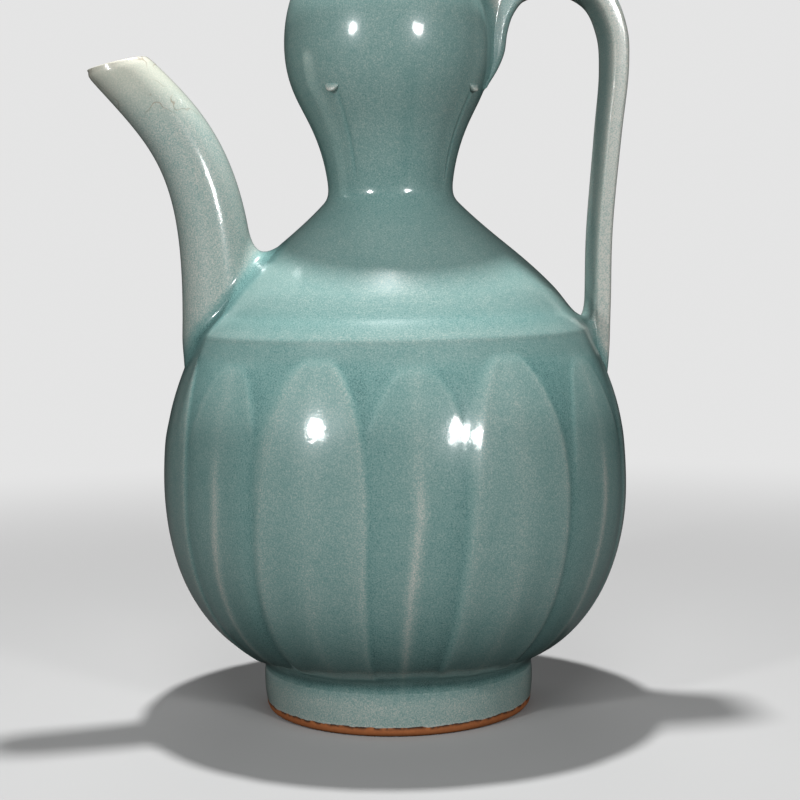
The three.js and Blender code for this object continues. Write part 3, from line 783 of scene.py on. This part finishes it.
strap_top = CROWN_Z + 19.3
strap_reach = RIDGE_RADIUS + 9.8
strap_side = RIDGE_RADIUS + 4
strap_foot = RIDGE_Z - 18.2
strap_line = Line(
    through(
        [
            (CROWN_RADIUS - 4.8, CROWN_Z - 14),
            (CROWN_RADIUS - 2.5, CROWN_Z - 8),
            (CROWN_RADIUS - 1.2, CROWN_Z - 2),
            (CROWN_RADIUS - 0.2, mix(CROWN_Z, strap_top, 0.23)),
            (CROWN_RADIUS + 2.1, mix(CROWN_Z, strap_top, 0.55)),
            (mix(CROWN_RADIUS, strap_reach, 0.19), mix(CROWN_Z, strap_top, 0.83)),
            (mix(CROWN_RADIUS, strap_reach, 0.56), strap_top),
            (strap_reach - 5.6, strap_top - 5.1),
            (strap_reach - 0.9, strap_top - 15),
            (strap_reach - 0.2, strap_top - 26),
            (mix(strap_side, strap_reach, 0.6), mix(strap_foot, strap_top, 0.62)),
            (mix(strap_side, strap_reach, 0.12), mix(strap_foot, strap_top, 0.38)),
            (strap_side, RIDGE_Z + 6),
            (strap_side - 0.7, RIDGE_Z - 6),
            (strap_side - 2.2, strap_foot),
        ],
        16,
    )
)
print("the strap's line is", round(strap_line.length, 1), "mm long")

# %% [markdown]
# ## Luting a piece on
#
# Where a spout or handle meets the body, the potter smooths a little slip into the
# corner and the glaze fills it further. Every column of the piece is followed back
# until it dips under the body's skin. From that corner a short curve leaves the piece
# along its own surface and arrives along the body's, so the joint has no edge.

# %% Follow a column to the body's skin
body_skins = [BVHTree.FromBMesh(bm) for bm in (lower_bulb, upper_bulb)]
FOLLOW_STEP = 0.4


def nearest_skin(p):
    """Height over the body's skin, the nearest spot on it and its normal."""
    found = [tree.find_nearest(p) for tree in body_skins]
    spot, normal, _, _ = min(found, key=lambda f: f[3])
    return (p - spot).dot(normal), spot, normal


def corner_distance(place, column, start, towards):
    """Distance along the line at which a column dips under the skin."""
    step = copysign(FOLLOW_STEP, towards - start)
    s, height = start, nearest_skin(place(column, start))[0]
    while (towards - s) * step > 0:
        below = nearest_skin(place(column, s + step))[0]
        if below < 0:
            return s + step * height / (height - below)
        s, height = s + step, below
    return towards


print("the skin has", len(lower_bulb.faces) + len(upper_bulb.faces), "faces")

# %% [markdown]
# From there the joint's own sizes follow, column by column. How far the short curve
# reaches depends on the angle between the two surfaces: a blunt corner is rounded
# closely, and a sharp one is filled further. Neighbouring columns are evened out.

# %% A rounded joint
FILLET_ROWS = 12
SINK = 0.2
DEEPEST_SETBACK = 14
SHARPEST_WEDGE = 0.5
FLATTEST_LAY = 0.4
LEVEL_ROUNDS = 3


def level(values):
    """Evens out a value from column to column."""
    values = np.array(values)
    for _ in range(LEVEL_ROUNDS):
        values = (np.roll(values, 1, 0) + 2 * values + np.roll(values, -1, 0)) / 4
    return values


class Joint:
    """How one end of a drawn piece sits on the body, for each of its columns."""

    def __init__(self, place, columns, start, towards, radius):
        self.place = place
        self.back = copysign(1, start - towards)
        corners = [corner_distance(place, c, start, towards) for c in range(columns)]
        self.corner = level(corners)
        found = []
        for c, s in enumerate(self.corner):
            here = place(c, s)
            normal = nearest_skin(here)[2]
            ahead = (place(c, s + 0.5 * self.back) - here).normalized()
            across = place((c + 1) % columns, s) - place(c - 1, s)
            face = across.cross(ahead).normalized() * self.back
            edge = face.cross(normal)
            wedge = pi - face.angle(normal)
            reach = min(radius(c) / tan(max(wedge, SHARPEST_WEDGE) / 2), DEEPEST_SETBACK)
            lay = abs(face.cross(edge).normalized().dot(ahead)) if edge.length > 1e-3 else 1
            along = reach / max(lay, FLATTEST_LAY)
            found.append((reach, along, face - face.dot(normal) * normal))
        self.setback, self.along, self.out = (level(values) for values in zip(*found))

    def root(self, c):
        """Where the column's free surface begins."""
        return self.corner[c] + self.along[c] * self.back

    def fillet(self, c, u):
        """A point of the rounded corner, from 0 on the body to 1 on the piece."""
        s = self.corner[c]
        corner = self.place(c, s)
        out = Vector(self.out[c]).normalized() * self.setback[c] * (1 - u) ** 2
        _, spot, normal = nearest_skin(corner + out)
        point = self.place(c, s + self.along[c] * u**2 * self.back) + (spot - corner)
        return point - normal * SINK * smooth(1 - u * 5)


# %% [markdown]
# ## The spout
#
# The spout is a tapered tube with an open mouth cut almost level. Its rim is rounded
# and thin, and the wall gets thicker downwards. The bore is part of the same piece.

# %% Shape of the spout
SPOUT_COLUMNS = 72
LIP_ROUND = 0.965
MOUTH_SLANT = 0.58
SPOUT_RADII = (11.6, 8.4)
SPOUT_WALLS = (2.8, 1.7)
SPOUT_PRESSED = 17
SPOUT_FILLETS = (2.6, 6)
spout_length = spout_line.length - SPOUT_BEYOND
spout_free = spout_length * 0.62


def spout_place(c, s, wall_share=0.0, lift=0.0):
    """A point of column c: wall_share is 0 on the outside and 1 in the bore."""
    turned = tau * c / SPOUT_COLUMNS
    t = clamp(s / spout_length)
    radius = mix(*SPOUT_RADII, t**1.35)
    near_lip = clamp((t - LIP_ROUND) / (1 - LIP_ROUND))
    tucked = (1 - sqrt(1 - near_lip**2 * 0.98)) * (0.66 - 0.44 * cos(turned))
    pressed = 0.45 * (1 - cos(turned)) * smooth((SPOUT_PRESSED - s) / 12)
    wall = mix(*SPOUT_WALLS, smooth(t * 2 - 1))
    radius -= mix(tucked + pressed, wall, wall_share)
    x, y = radius * cos(turned), radius * sin(turned)
    slant = MOUTH_SLANT * x * smooth((t - 0.7) / 0.3)
    return spout_line.at(s - slant + lift, x, y)


def bore_place(c, s):
    """The same in the bore."""
    return spout_place(c, s, 1.0)


def spout_fillet(c):
    """How wide the joint is rounded: most on the side of the bulb's slope."""
    return mix(*SPOUT_FILLETS, clamp(cos(tau * c / SPOUT_COLUMNS)) ** 2)


spout_joint = Joint(spout_place, SPOUT_COLUMNS, spout_free, 0, spout_fillet)
spout_corners = [round(float(edge(spout_joint.corner)), 1) for edge in (min, max)]
print("the spout leaves the body between", spout_corners, "mm along its line")

# %% [markdown]
# A column of row numbers goes up the fillet and the outside, over the lip and down the
# bore, and closes on itself where the bore opens into the bulb. Each vertex takes the
# place that its row and column stand for.

# %% Build the spout
SPOUT_ROWS = 96
SPOUT_LIP_ROWS = 8
SPOUT_BORE_ROWS = 36
LIP_RISE = 0.75
bore_end = [corner_distance(bore_place, c, spout_free, 0) for c in range(SPOUT_COLUMNS)]


def spout_row(c, k):
    """The place of one vertex of the spout: outside, over the lip, and down the bore."""
    if k <= FILLET_ROWS:
        return spout_joint.fillet(c, k / FILLET_ROWS)
    if k <= SPOUT_ROWS:
        t = (k - FILLET_ROWS) / (SPOUT_ROWS - FILLET_ROWS)
        return spout_place(c, mix(spout_joint.root(c), spout_length, t**1.15))
    if k < SPOUT_ROWS + SPOUT_LIP_ROWS:
        a = pi * (k - SPOUT_ROWS) / SPOUT_LIP_ROWS
        share = (1 - cos(a)) / 2
        return spout_place(c, spout_length, share, LIP_RISE * sin(a))
    t = (k - SPOUT_ROWS - SPOUT_LIP_ROWS) / SPOUT_BORE_ROWS
    return bore_place(c, mix(spout_length, bore_end[c] - 0.3, t))


def drawn(rows, columns, row_place, closed):
    """Spins a straight column of row numbers and puts each vertex in its place."""
    bm = turn([(1, k) for k in range(rows)], 4, columns // 4, closed)
    row = bm.verts.layers.int["row"]
    for v in bm.verts:
        column = round(atan2(v.co.y, v.co.x) / tau * columns) % columns
        v.co = row_place(column, v[row])
    return bm


spout = drawn(SPOUT_ROWS + SPOUT_LIP_ROWS + SPOUT_BORE_ROWS + 1, SPOUT_COLUMNS, spout_row, True)
bmesh.ops.recalc_face_normals(spout, faces=spout.faces)
print("the spout:", len(spout.verts), "vertices in", SPOUT_COLUMNS, "columns")

# %% [markdown]
# ## The strap handle
#
# The strap is a flattened band, wide across the pot, with rounded edges. A tail is
# pressed down the bulb, the root is thick, the arch slender, and the foot widens a
# little where it is pushed onto the ridge.

# %% Shape of the handle
STRAP_COLUMNS = 96
STRAP_WIDTHS = (19.2, 16.6)
ARCH_THICKNESSES = (6.6, 5.5)
TAIL_THICKNESS = 3.4
ROOT_THICKNESS = 9.2
SEAT_THICKNESS = 6.8
ROOT_FREE = 46
FOOT_FREE = 60
ROOT_FILLETS = (4, 10)
FOOT_FILLETS = (1.8, 6.6)


def strap_thickness(s, length):
    """Thickness s along the line: tail, root, arch and foot."""
    slender = mix(*ARCH_THICKNESSES, smooth((s / length - 0.3) / 0.4))
    arched = mix(ROOT_THICKNESS, slender, smooth((s - 22) / 26))
    seated = mix(arched, SEAT_THICKNESS, smooth((s - length + 24) / 24))
    return mix(TAIL_THICKNESS, seated, smooth(s / 14))


def strap_place(c, s):
    """A point of column c, on a rounded oblong across the line."""
    length = strap_line.length
    turned = tau * c / STRAP_COLUMNS
    across, inward = sin(turned), cos(turned)
    width = mix(*STRAP_WIDTHS, smooth((s / length - 0.25) / 0.5))
    x = copysign(abs(inward) ** 0.35, inward) * strap_thickness(s, length) / 2
    y = copysign(abs(across) ** 0.6, across) * width / 2
    return strap_line.at(s, x, y)


def root_fillet(c):
    return mix(*ROOT_FILLETS, clamp(-cos(tau * c / STRAP_COLUMNS)))


def foot_fillet(c):
    return mix(*FOOT_FILLETS, clamp(cos(tau * c / STRAP_COLUMNS)) ** 2)


root_joint = Joint(strap_place, STRAP_COLUMNS, ROOT_FREE, 0, root_fillet)
strap_end = strap_line.length
foot_joint = Joint(strap_place, STRAP_COLUMNS, strap_end - FOOT_FREE, strap_end, foot_fillet)
free_length = min(foot_joint.corner) - max(root_joint.corner)
print("the strap stands free for", round(float(free_length), 1), "mm")

# %% [markdown]
# The handle's column starts on the upper bulb and ends on the lower one, with a rounded
# joint at both. Its two ends lie under the skin and are closed with one face each.

# %% Build the handle
STRAP_ROWS = 170


def strap_row(c, k):
    """The place of one vertex of the handle: root, free strap and foot."""
    if k <= FILLET_ROWS:
        return root_joint.fillet(c, k / FILLET_ROWS)
    last = STRAP_ROWS - FILLET_ROWS
    if k >= last:
        return foot_joint.fillet(c, (STRAP_ROWS - k) / FILLET_ROWS)
    t = (k - FILLET_ROWS) / (last - FILLET_ROWS)
    return strap_place(c, mix(root_joint.root(c), foot_joint.root(c), t))


handle = drawn(STRAP_ROWS + 1, STRAP_COLUMNS, strap_row, False)
ends = [e for e in handle.edges if e.is_boundary]
bmesh.ops.holes_fill(handle, edges=ends, sides=0)
bmesh.ops.recalc_face_normals(handle, faces=handle.faces)
still_open = [e for e in handle.edges if e.is_boundary]
print("the handle:", len(handle.verts), "vertices,", len(still_open), "open edges")

# %% [markdown]
# ## Glaze on the drawn pieces and in the joints
#
# Glaze runs off edges and steep thin pieces and gathers in the joints. So the spout and
# the handle are paler than the body, palest along their edges and at the lip, and a
# dark line of thick glaze follows each joint on both sides. On the bulbs it is looked
# for only where the joints are: far out and near the middle plane. The handle's inner
# side, which faces the body, is made darker as painted shade.

# %% Glaze thickness by distance
DEEPEST_LOW = 0.8
DEEPEST_HIGH = 0.68
JOINT_SIDE = 24
SPOUT_FILM = 0.25
LIP_FILM = 0.02
STRAP_FILM = 0.14
INNER_SHADE_FILM = 0.4
EDGE_FILM = 0.04
ROOT_FILM = 0.5


def pool(bm, trees, reach, film_of=None):
    """Sets the glaze of every vertex, thicker within reach of the other pieces' skins."""
    row, glaze = bm.verts.layers.int["row"], bm.verts.layers.float["glaze"]
    for v in bm.verts:
        film = film_of(v, v[row]) if film_of else v[glaze]
        if film_of or abs(v.co.y) < JOINT_SIDE < abs(v.co.x):
            found = [tree.find_nearest(v.co, reach) for tree in trees]
            distance = min([f[3] for f in found if f[0] is not None], default=reach)
            deepest = DEEPEST_LOW if v.co.z < WAIST_Z else DEEPEST_HIGH
            film = mix(film, deepest, smooth(1 - distance / reach))
        v[glaze] = film


def spout_film(v, k):
    """Glaze on row k of the spout: almost none at the lip."""
    lip_share = smooth((k - SPOUT_ROWS + 3) / 4) * smooth((SPOUT_ROWS + 12 - k) / 6)
    return mix(SPOUT_FILM, LIP_FILM, lip_share)


def strap_film(v, k):
    """Glaze on row k of the handle: least on its edges, most at the root; the inner side is darker
    as painted shade.
    """
    s = strap_end * clamp((k - FILLET_ROWS) / (STRAP_ROWS - 2 * FILLET_ROWS))
    centre = strap_line.at(s, 0, 0)
    edge = clamp(abs(v.co.y) / 8.5) ** 3
    outward = (v.co - centre).dot(strap_line.at(s, -1, 0) - centre)
    # painted shade: the side facing the body gets thicker, darker glaze
    shaded_inner_side = smooth(-outward / 3) * (1 - edge)
    near_root = smooth((44 - s) / 18) * smooth(1.2 - outward / 4)
    film = mix(mix(STRAP_FILM, INNER_SHADE_FILM, shaded_inner_side), EDGE_FILM, edge * 0.5)
    return mix(film, ROOT_FILM, near_root)


pool(spout, body_skins, 4.4, spout_film)
pool(handle, body_skins, 4, strap_film)
drawn_skins = [BVHTree.FromBMesh(bm) for bm in (spout, handle)]
pool(lower_bulb, drawn_skins, 5)
pool(upper_bulb, drawn_skins, 5)

for bm, name, *nodes in (
    (lower_bulb, "lower_bulb", "lower_bulb_bowl", "lower_bulb_shoulder"),
    (upper_bulb, "upper_bulb_wall", "upper_bulb"),
    (spout, "spout_tube", "spout"),
    (handle, "strap", "handle"),
):
    finish_piece(bm, name, "body", "celadon_glaze", *nodes)

# %% [markdown]
# ## The lid
#
# The lid is a small domed cap with a bud for a knob and a flange that drops into the
# mouth. The flange is left unglazed, so that the lid doesn't stick in the kiln.

# %% Lid pieces
LID_RADIUS = MOUTH_RADIUS + 2.4
LID_TOP = mouth_z + 6.6
FLANGE_RADIUS = bore - 0.6
FLANGE_WALL = 2
LAND = 3.6

cap_side = (
    ((-0.45, 0.05), (0.1, 0.3), (0, 1.2), (-0.4, 1.7), 8),
    ((-1, 2.1), (-2.4, 4.8), (LAND + 5 - LID_RADIUS, 6.6), (LAND - LID_RADIUS, 6.6), 20),
)
knob_side = (
    ((3.15, 0.15), (2.2, 1.6), (2.3, 3.4), (2.75, 4.6), 10),
    ((2.95, 5), (4.0, 6.6), (3.9, 8.4), (2.2, 9.8), 12),
    ((1.9, 9.95), (1.2, 10.2), (0.7, 10.4), (0, 10.5), 5),
)
cap_outline = [
    (0, mouth_z + 1.8),
    (FLANGE_RADIUS - FLANGE_WALL, mouth_z),
    (LID_RADIUS - 0.6, mouth_z),
    *stretches(cap_side, LID_RADIUS, mouth_z),
    (0, LID_TOP),
]
knob_outline = [(0, LID_TOP), (3.2, LID_TOP), *stretches(knob_side, 0, LID_TOP)]
flange_outline = [
    (FLANGE_RADIUS - FLANGE_WALL + 0.3, mouth_z - 7),
    (FLANGE_RADIUS - 0.6, mouth_z - 7),
    (FLANGE_RADIUS - 0.1, mouth_z - 6.6),
    (FLANGE_RADIUS, mouth_z - 6),
    (FLANGE_RADIUS, mouth_z),
    (FLANGE_RADIUS - FLANGE_WALL, mouth_z),
]
cap = turn(cap_outline, 4, 24)
knob = turn(knob_outline, 4, 16)
flange = turn(flange_outline, 4, 24, closed=True)
for bm, name, slot, node in (
    (cap, "cap", "celadon_glaze", "lid_cap"),
    (knob, "knob", "celadon_glaze", "lid_knob"),
    (flange, "flange", "bare_clay", "lid_flange"),
):
    film = bm.verts.layers.float["glaze"]
    for v in bm.verts:
        out = hypot(v.co.x, v.co.y)
        thin_edge = 0.3 * smooth((out - LID_RADIUS + 2) / 2)
        pooled_seat = 0.35 * smooth(1 - abs(out - LAND) / 1.2)
        v[film] = PLAIN_FILM - thin_edge + pooled_seat
    finish_piece(bm, name, "lid", slot, node)

# %% [markdown]
# ## Materials
#
# Shader maths reads better as sums, so a small class wraps a socket: adding or
# multiplying two of them adds the Math node that does it. Colours go through Mix nodes.

# %% Shader helpers
class Wire:
    """A number that the shader works out at every point of a surface."""

    def __init__(self, finish, socket):
        self.finish, self.socket = finish, socket

    def _maths(self, operation, first, second):
        return self.finish.node("ShaderNodeMath", {"operation": operation}, {0: first, 1: second})

    def __add__(self, other):
        return self._maths("ADD", self, other)

    def __sub__(self, other):
        return self._maths("SUBTRACT", self, other)

    def __rsub__(self, other):
        return self._maths("SUBTRACT", other, self)

    def __mul__(self, other):
        return self._maths("MULTIPLY", self, other)

    __radd__, __rmul__ = __add__, __mul__


class Finish:
    """The node tree of a material or of the world."""

    def __init__(self, owner):
        self.owner = owner
        owner.use_nodes = True
        self.tree = owner.node_tree
        self.tree.nodes.clear()

    def node(self, kind, settings, values, output=0):
        made = self.tree.nodes.new(kind)
        for name, setting in settings.items():
            if name == "stops":
                elements = made.color_ramp.elements
                while len(elements) < len(setting):
                    elements.new(0.5)
                for element, stop in zip(elements, setting):
                    element.position, element.color = stop
            else:
                setattr(made, name, setting)
        for name, value in values.items():
            if isinstance(value, Wire):
                self.tree.links.new(value.socket, made.inputs[name])
            else:
                made.inputs[name].default_value = value
        return None if output is None else Wire(self, made.outputs[output])

    def blend(self, share, first, second):
        return self.node("ShaderNodeMix", {"data_type": "RGBA"}, {0: share, 6: first, 7: second}, 2)

    def place(self):
        return self.node("ShaderNodeTexCoord", {}, {}, "Object")

    def height(self):
        return self.node("ShaderNodeSeparateXYZ", {}, {0: self.place()}, "Z")

    def show(self, shader, kind="Material"):
        self.node("ShaderNodeOutput" + kind, {}, {"Surface": shader}, None)
        return self.owner

    def noise(self, scale, detail=2.0):
        values = {"Vector": self.place(), "Scale": scale, "Detail": detail}
        return self.node("ShaderNodeTexNoise", {}, values)

    def bump(self, height, distance):
        values = {"Height": height, "Strength": 0.5, "Distance": distance}
        return self.node("ShaderNodeBump", {}, values)

    def step(self, value, low, high):
        settings = {"interpolation_type": "SMOOTHSTEP"}
        return self.node("ShaderNodeMapRange", settings, {0: value, 1: low, 2: high})


# %% [markdown]
# Celadon is a thick, faintly milky glaze. Where it is thin it is a pale greyish white,
# and where it pools it turns deep blue-green. The thickness came with the mesh, so a
# ramp turns it into colour. Fine bubbles mottle it and a slow drift of tone breaks it
# up. Its skin is glossy but finely pitted, and the bubbles under it scatter the light,
# so each lamp leaves a ragged bright spot in a hazy glow: a glossy, bumpy base gives the
# spot, and a rough coat the haze.

# %% Celadon glaze
PALE = (0.56, 0.56, 0.51, 1)
THIN = (0.345, 0.425, 0.395, 1)
MEDIUM = (0.205, 0.328, 0.31, 1)
THICK = (0.13, 0.262, 0.25, 1)
POOLED = (0.06, 0.14, 0.14, 1)
GLAZE_STOPS = ((0.0, PALE), (0.25, THIN), (0.5, MEDIUM), (0.75, THICK), (1.0, POOLED))
GLOSS = 0.065
HAZE = 0.6
HAZE_WIDTH = 0.33
PIT_DEPTH = 0.00004


def celadon(name, extra=lambda finish, colour: (colour, 0.0)):
    """The glaze. The function extra may change its colour and lay some clay bare."""
    finish = Finish(bpy.data.materials.new(name))
    film = finish.node("ShaderNodeAttribute", {"attribute_name": "glaze"}, {}, "Fac")
    bubbles = (finish.noise(2600, 2) - 0.5) * 1.1
    clouds = (finish.noise(260, 3) - 0.5) * 0.14 + (finish.noise(45, 3) - 0.5) * 0.16
    film = film + bubbles + clouds
    colour = finish.node("ShaderNodeValToRGB", {"stops": GLAZE_STOPS}, {0: film})
    colour, bare = extra(finish, colour)
    grain = finish.noise(2400) + finish.noise(520) * 1.4 + finish.noise(150) * 2.4
    looks = {
        "Base Color": colour,
        "Roughness": GLOSS + finish.noise(400) * 0.05 + bare * 0.65,
        "Normal": finish.bump(grain, PIT_DEPTH),
        "Coat Weight": HAZE - bare * HAZE,
        "Coat Roughness": HAZE_WIDTH,
    }
    return finish.show(finish.node("ShaderNodeBsdfPrincipled", {}, looks))


body_glaze = celadon("celadon_glaze")
for name, piece in pieces.items():
    if name not in ("foot", "spout_tube", "flange"):
        piece.data.materials.append(body_glaze)

# %% [markdown]
# High on the spout the glaze ran thin and turned a warm beige, and wine has left a few
# fine brown lines in its crackle. They are drawn by one value of a slow noise, which
# winds over the surface like a contour line on a map.

# %% Stained spout
BEIGE = (0.60, 0.58, 0.475, 1)
STAIN = (0.20, 0.135, 0.075, 1)
BEIGE_HEIGHTS = (0.172, 0.196)
STAIN_HEIGHTS = (0.178, 0.184)
STAIN_LINE = (0.012, 0.003)


def stained(finish, colour):
    """Beige near the mouth, with fine brown lines."""
    near_mouth = finish.step(finish.height(), *BEIGE_HEIGHTS)
    colour = finish.blend(near_mouth * 0.62, colour, BEIGE)
    winding = finish.noise(95, 2) - 0.53
    distance = finish.node("ShaderNodeMath", {"operation": "ABSOLUTE"}, {0: winding})
    line = finish.step(distance, *STAIN_LINE)
    patch = finish.step(finish.noise(60, 1), 0.42, 0.55)
    share = line * patch * finish.step(finish.height(), *STAIN_HEIGHTS) * 0.5
    return finish.blend(share, colour, STAIN), 0.0


pieces["spout_tube"].data.materials.append(celadon("celadon_spout", stained))

# %% [markdown]
# The foot was wiped before firing, and its bare edge burned orange-brown, with a ragged
# dark line where the glaze stops.

# %% Bare clay
CLAY = (0.33, 0.1, 0.03, 1)
SANDY = (0.44, 0.155, 0.05, 1)
BURNT = (0.045, 0.018, 0.01, 1)
GLAZE_EDGE = 0.003
EDGE_WAVE = 0.0016
GRAIN_DEPTH = 0.0001


def wiped(finish, colour):
    """Bare clay under a wavy edge of the glaze, with a burnt line along it."""
    edge = GLAZE_EDGE + (finish.noise(230, 4) - 0.5) * EDGE_WAVE
    above = finish.height() - edge
    bare = finish.step(above, 0.00008, -0.00008)
    ragged = finish.step(finish.noise(380, 3), 0.36, 0.56)
    burnt = finish.step(above, -0.0011, -0.0001) * ragged
    clay = finish.blend(finish.noise(900, 3), CLAY, SANDY)
    clay = finish.blend(burnt, clay, BURNT)
    return finish.blend(bare, colour, clay), bare


pieces["foot"].data.materials.append(celadon("celadon_foot", wiped))

clay_finish = Finish(bpy.data.materials.new("bare_clay"))
grain = clay_finish.noise(900, 4)
clay_looks = {
    "Base Color": clay_finish.blend(grain, CLAY, SANDY),
    "Roughness": 0.85,
    "Normal": clay_finish.bump(grain, GRAIN_DEPTH),
}
clay_shader = clay_finish.node("ShaderNodeBsdfPrincipled", {}, clay_looks)
pieces["flange"].data.materials.append(clay_finish.show(clay_shader))
print("materials:", [m.name for m in bpy.data.materials])

# %% [markdown]
# ## Table, backdrop and lamps
#
# The ewer stands on a plain pale table. A lamp high up behind it brightens the shoulder
# and leaves the soft shadow of the upper bulb on it, and two small softboxes in front
# leave the paired highlights on the bulbs. A wide lamp above the camera leaves the
# underside of the lower bulb in shade, and a faint one behind lifts the far side.
# The camera sees a pale table and backdrop, while the glaze sees a dimmer room, which
# keeps the rounded edges of the pot darker than its front.

# %% Table and backdrop
BACKDROP = 0.78
ROOM = 0.024
TABLE_SEEN = 0.4
TABLE_BOUNCE = 0.05
TABLE_RADIUS = 5
TABLE_FADE = (0.14, 0.6)


def grey(level):
    return (level, level, level, 1)


bm = bmesh.new()
bmesh.ops.create_circle(bm, cap_ends=True, radius=TABLE_RADIUS, segments=64)
table = add_mesh("table", bm)

cloth = Finish(bpy.data.materials.new("pale_table"))
seen = cloth.node("ShaderNodeLightPath", {}, {}, "Is Camera Ray")
away = cloth.node("ShaderNodeVectorMath", {"operation": "LENGTH"}, {0: cloth.place()}, "Value")
tone = cloth.blend(seen, grey(TABLE_BOUNCE), grey(TABLE_SEEN))
lit = cloth.node("ShaderNodeBsdfDiffuse", {}, {"Color": tone})
plain = cloth.node("ShaderNodeEmission", {}, {"Color": grey(BACKDROP)})
far = seen * cloth.step(away, *TABLE_FADE)
table_shader = cloth.node("ShaderNodeMixShader", {}, {0: far, 1: lit, 2: plain})
table.data.materials.append(cloth.show(table_shader))

room = Finish(bpy.data.worlds.new("room"))
seen = room.node("ShaderNodeLightPath", {}, {}, "Is Camera Ray")
shade = room.blend(seen, grey(ROOM), grey(BACKDROP))
light = room.node("ShaderNodeBackground", {}, {"Color": shade})
bpy.context.scene.world = room.show(light, "World")

# %% Lamps
TARGET = Vector((AXIS_X, 0, 0.13))


def lamp(name, azimuth, elevation, distance, width, height, radiance, mirrored=True):
    """A lamp that faces the ewer. Its power follows from how bright it should look."""
    a, e = radians(azimuth), radians(elevation)
    away = Vector((sin(a) * cos(e), -cos(a) * cos(e), sin(e)))
    data = bpy.data.lights.new(name, "AREA")
    data.shape = "ELLIPSE"
    data.size, data.size_y = width, height
    data.energy = radiance * pi**2 / 4 * width * height
    lamp_object = add_object(name, data)
    lamp_object.location = TARGET + away * distance
    lamp_object.rotation_mode = "QUATERNION"
    lamp_object.rotation_quaternion = (-away).to_track_quat("-Z", "Y")
    lamp_object.visible_camera = False
    lamp_object.visible_glossy = mirrored
    print(name, "has", round(data.energy, 2), "W")


# azimuth and elevation in degrees; distance, width and height in metres; radiance
lamp("shoulder_lamp", 179, 83.4, 0.55, 0.044, 0.044, 1180)
lamp("left_lamp", -46.5, 16.8, 0.95, 0.09, 0.08, 203)
lamp("right_lamp", 24.5, 14.2, 0.95, 0.13, 0.09, 125)
lamp("top_fill", -10, 42, 1.2, 0.5, 0.5, 6.2, mirrored=False)
lamp("back_fill", 172, 35, 1.6, 0.9, 0.9, 2.2, mirrored=False)

bpy.context.scene.view_settings.view_transform = "Standard"
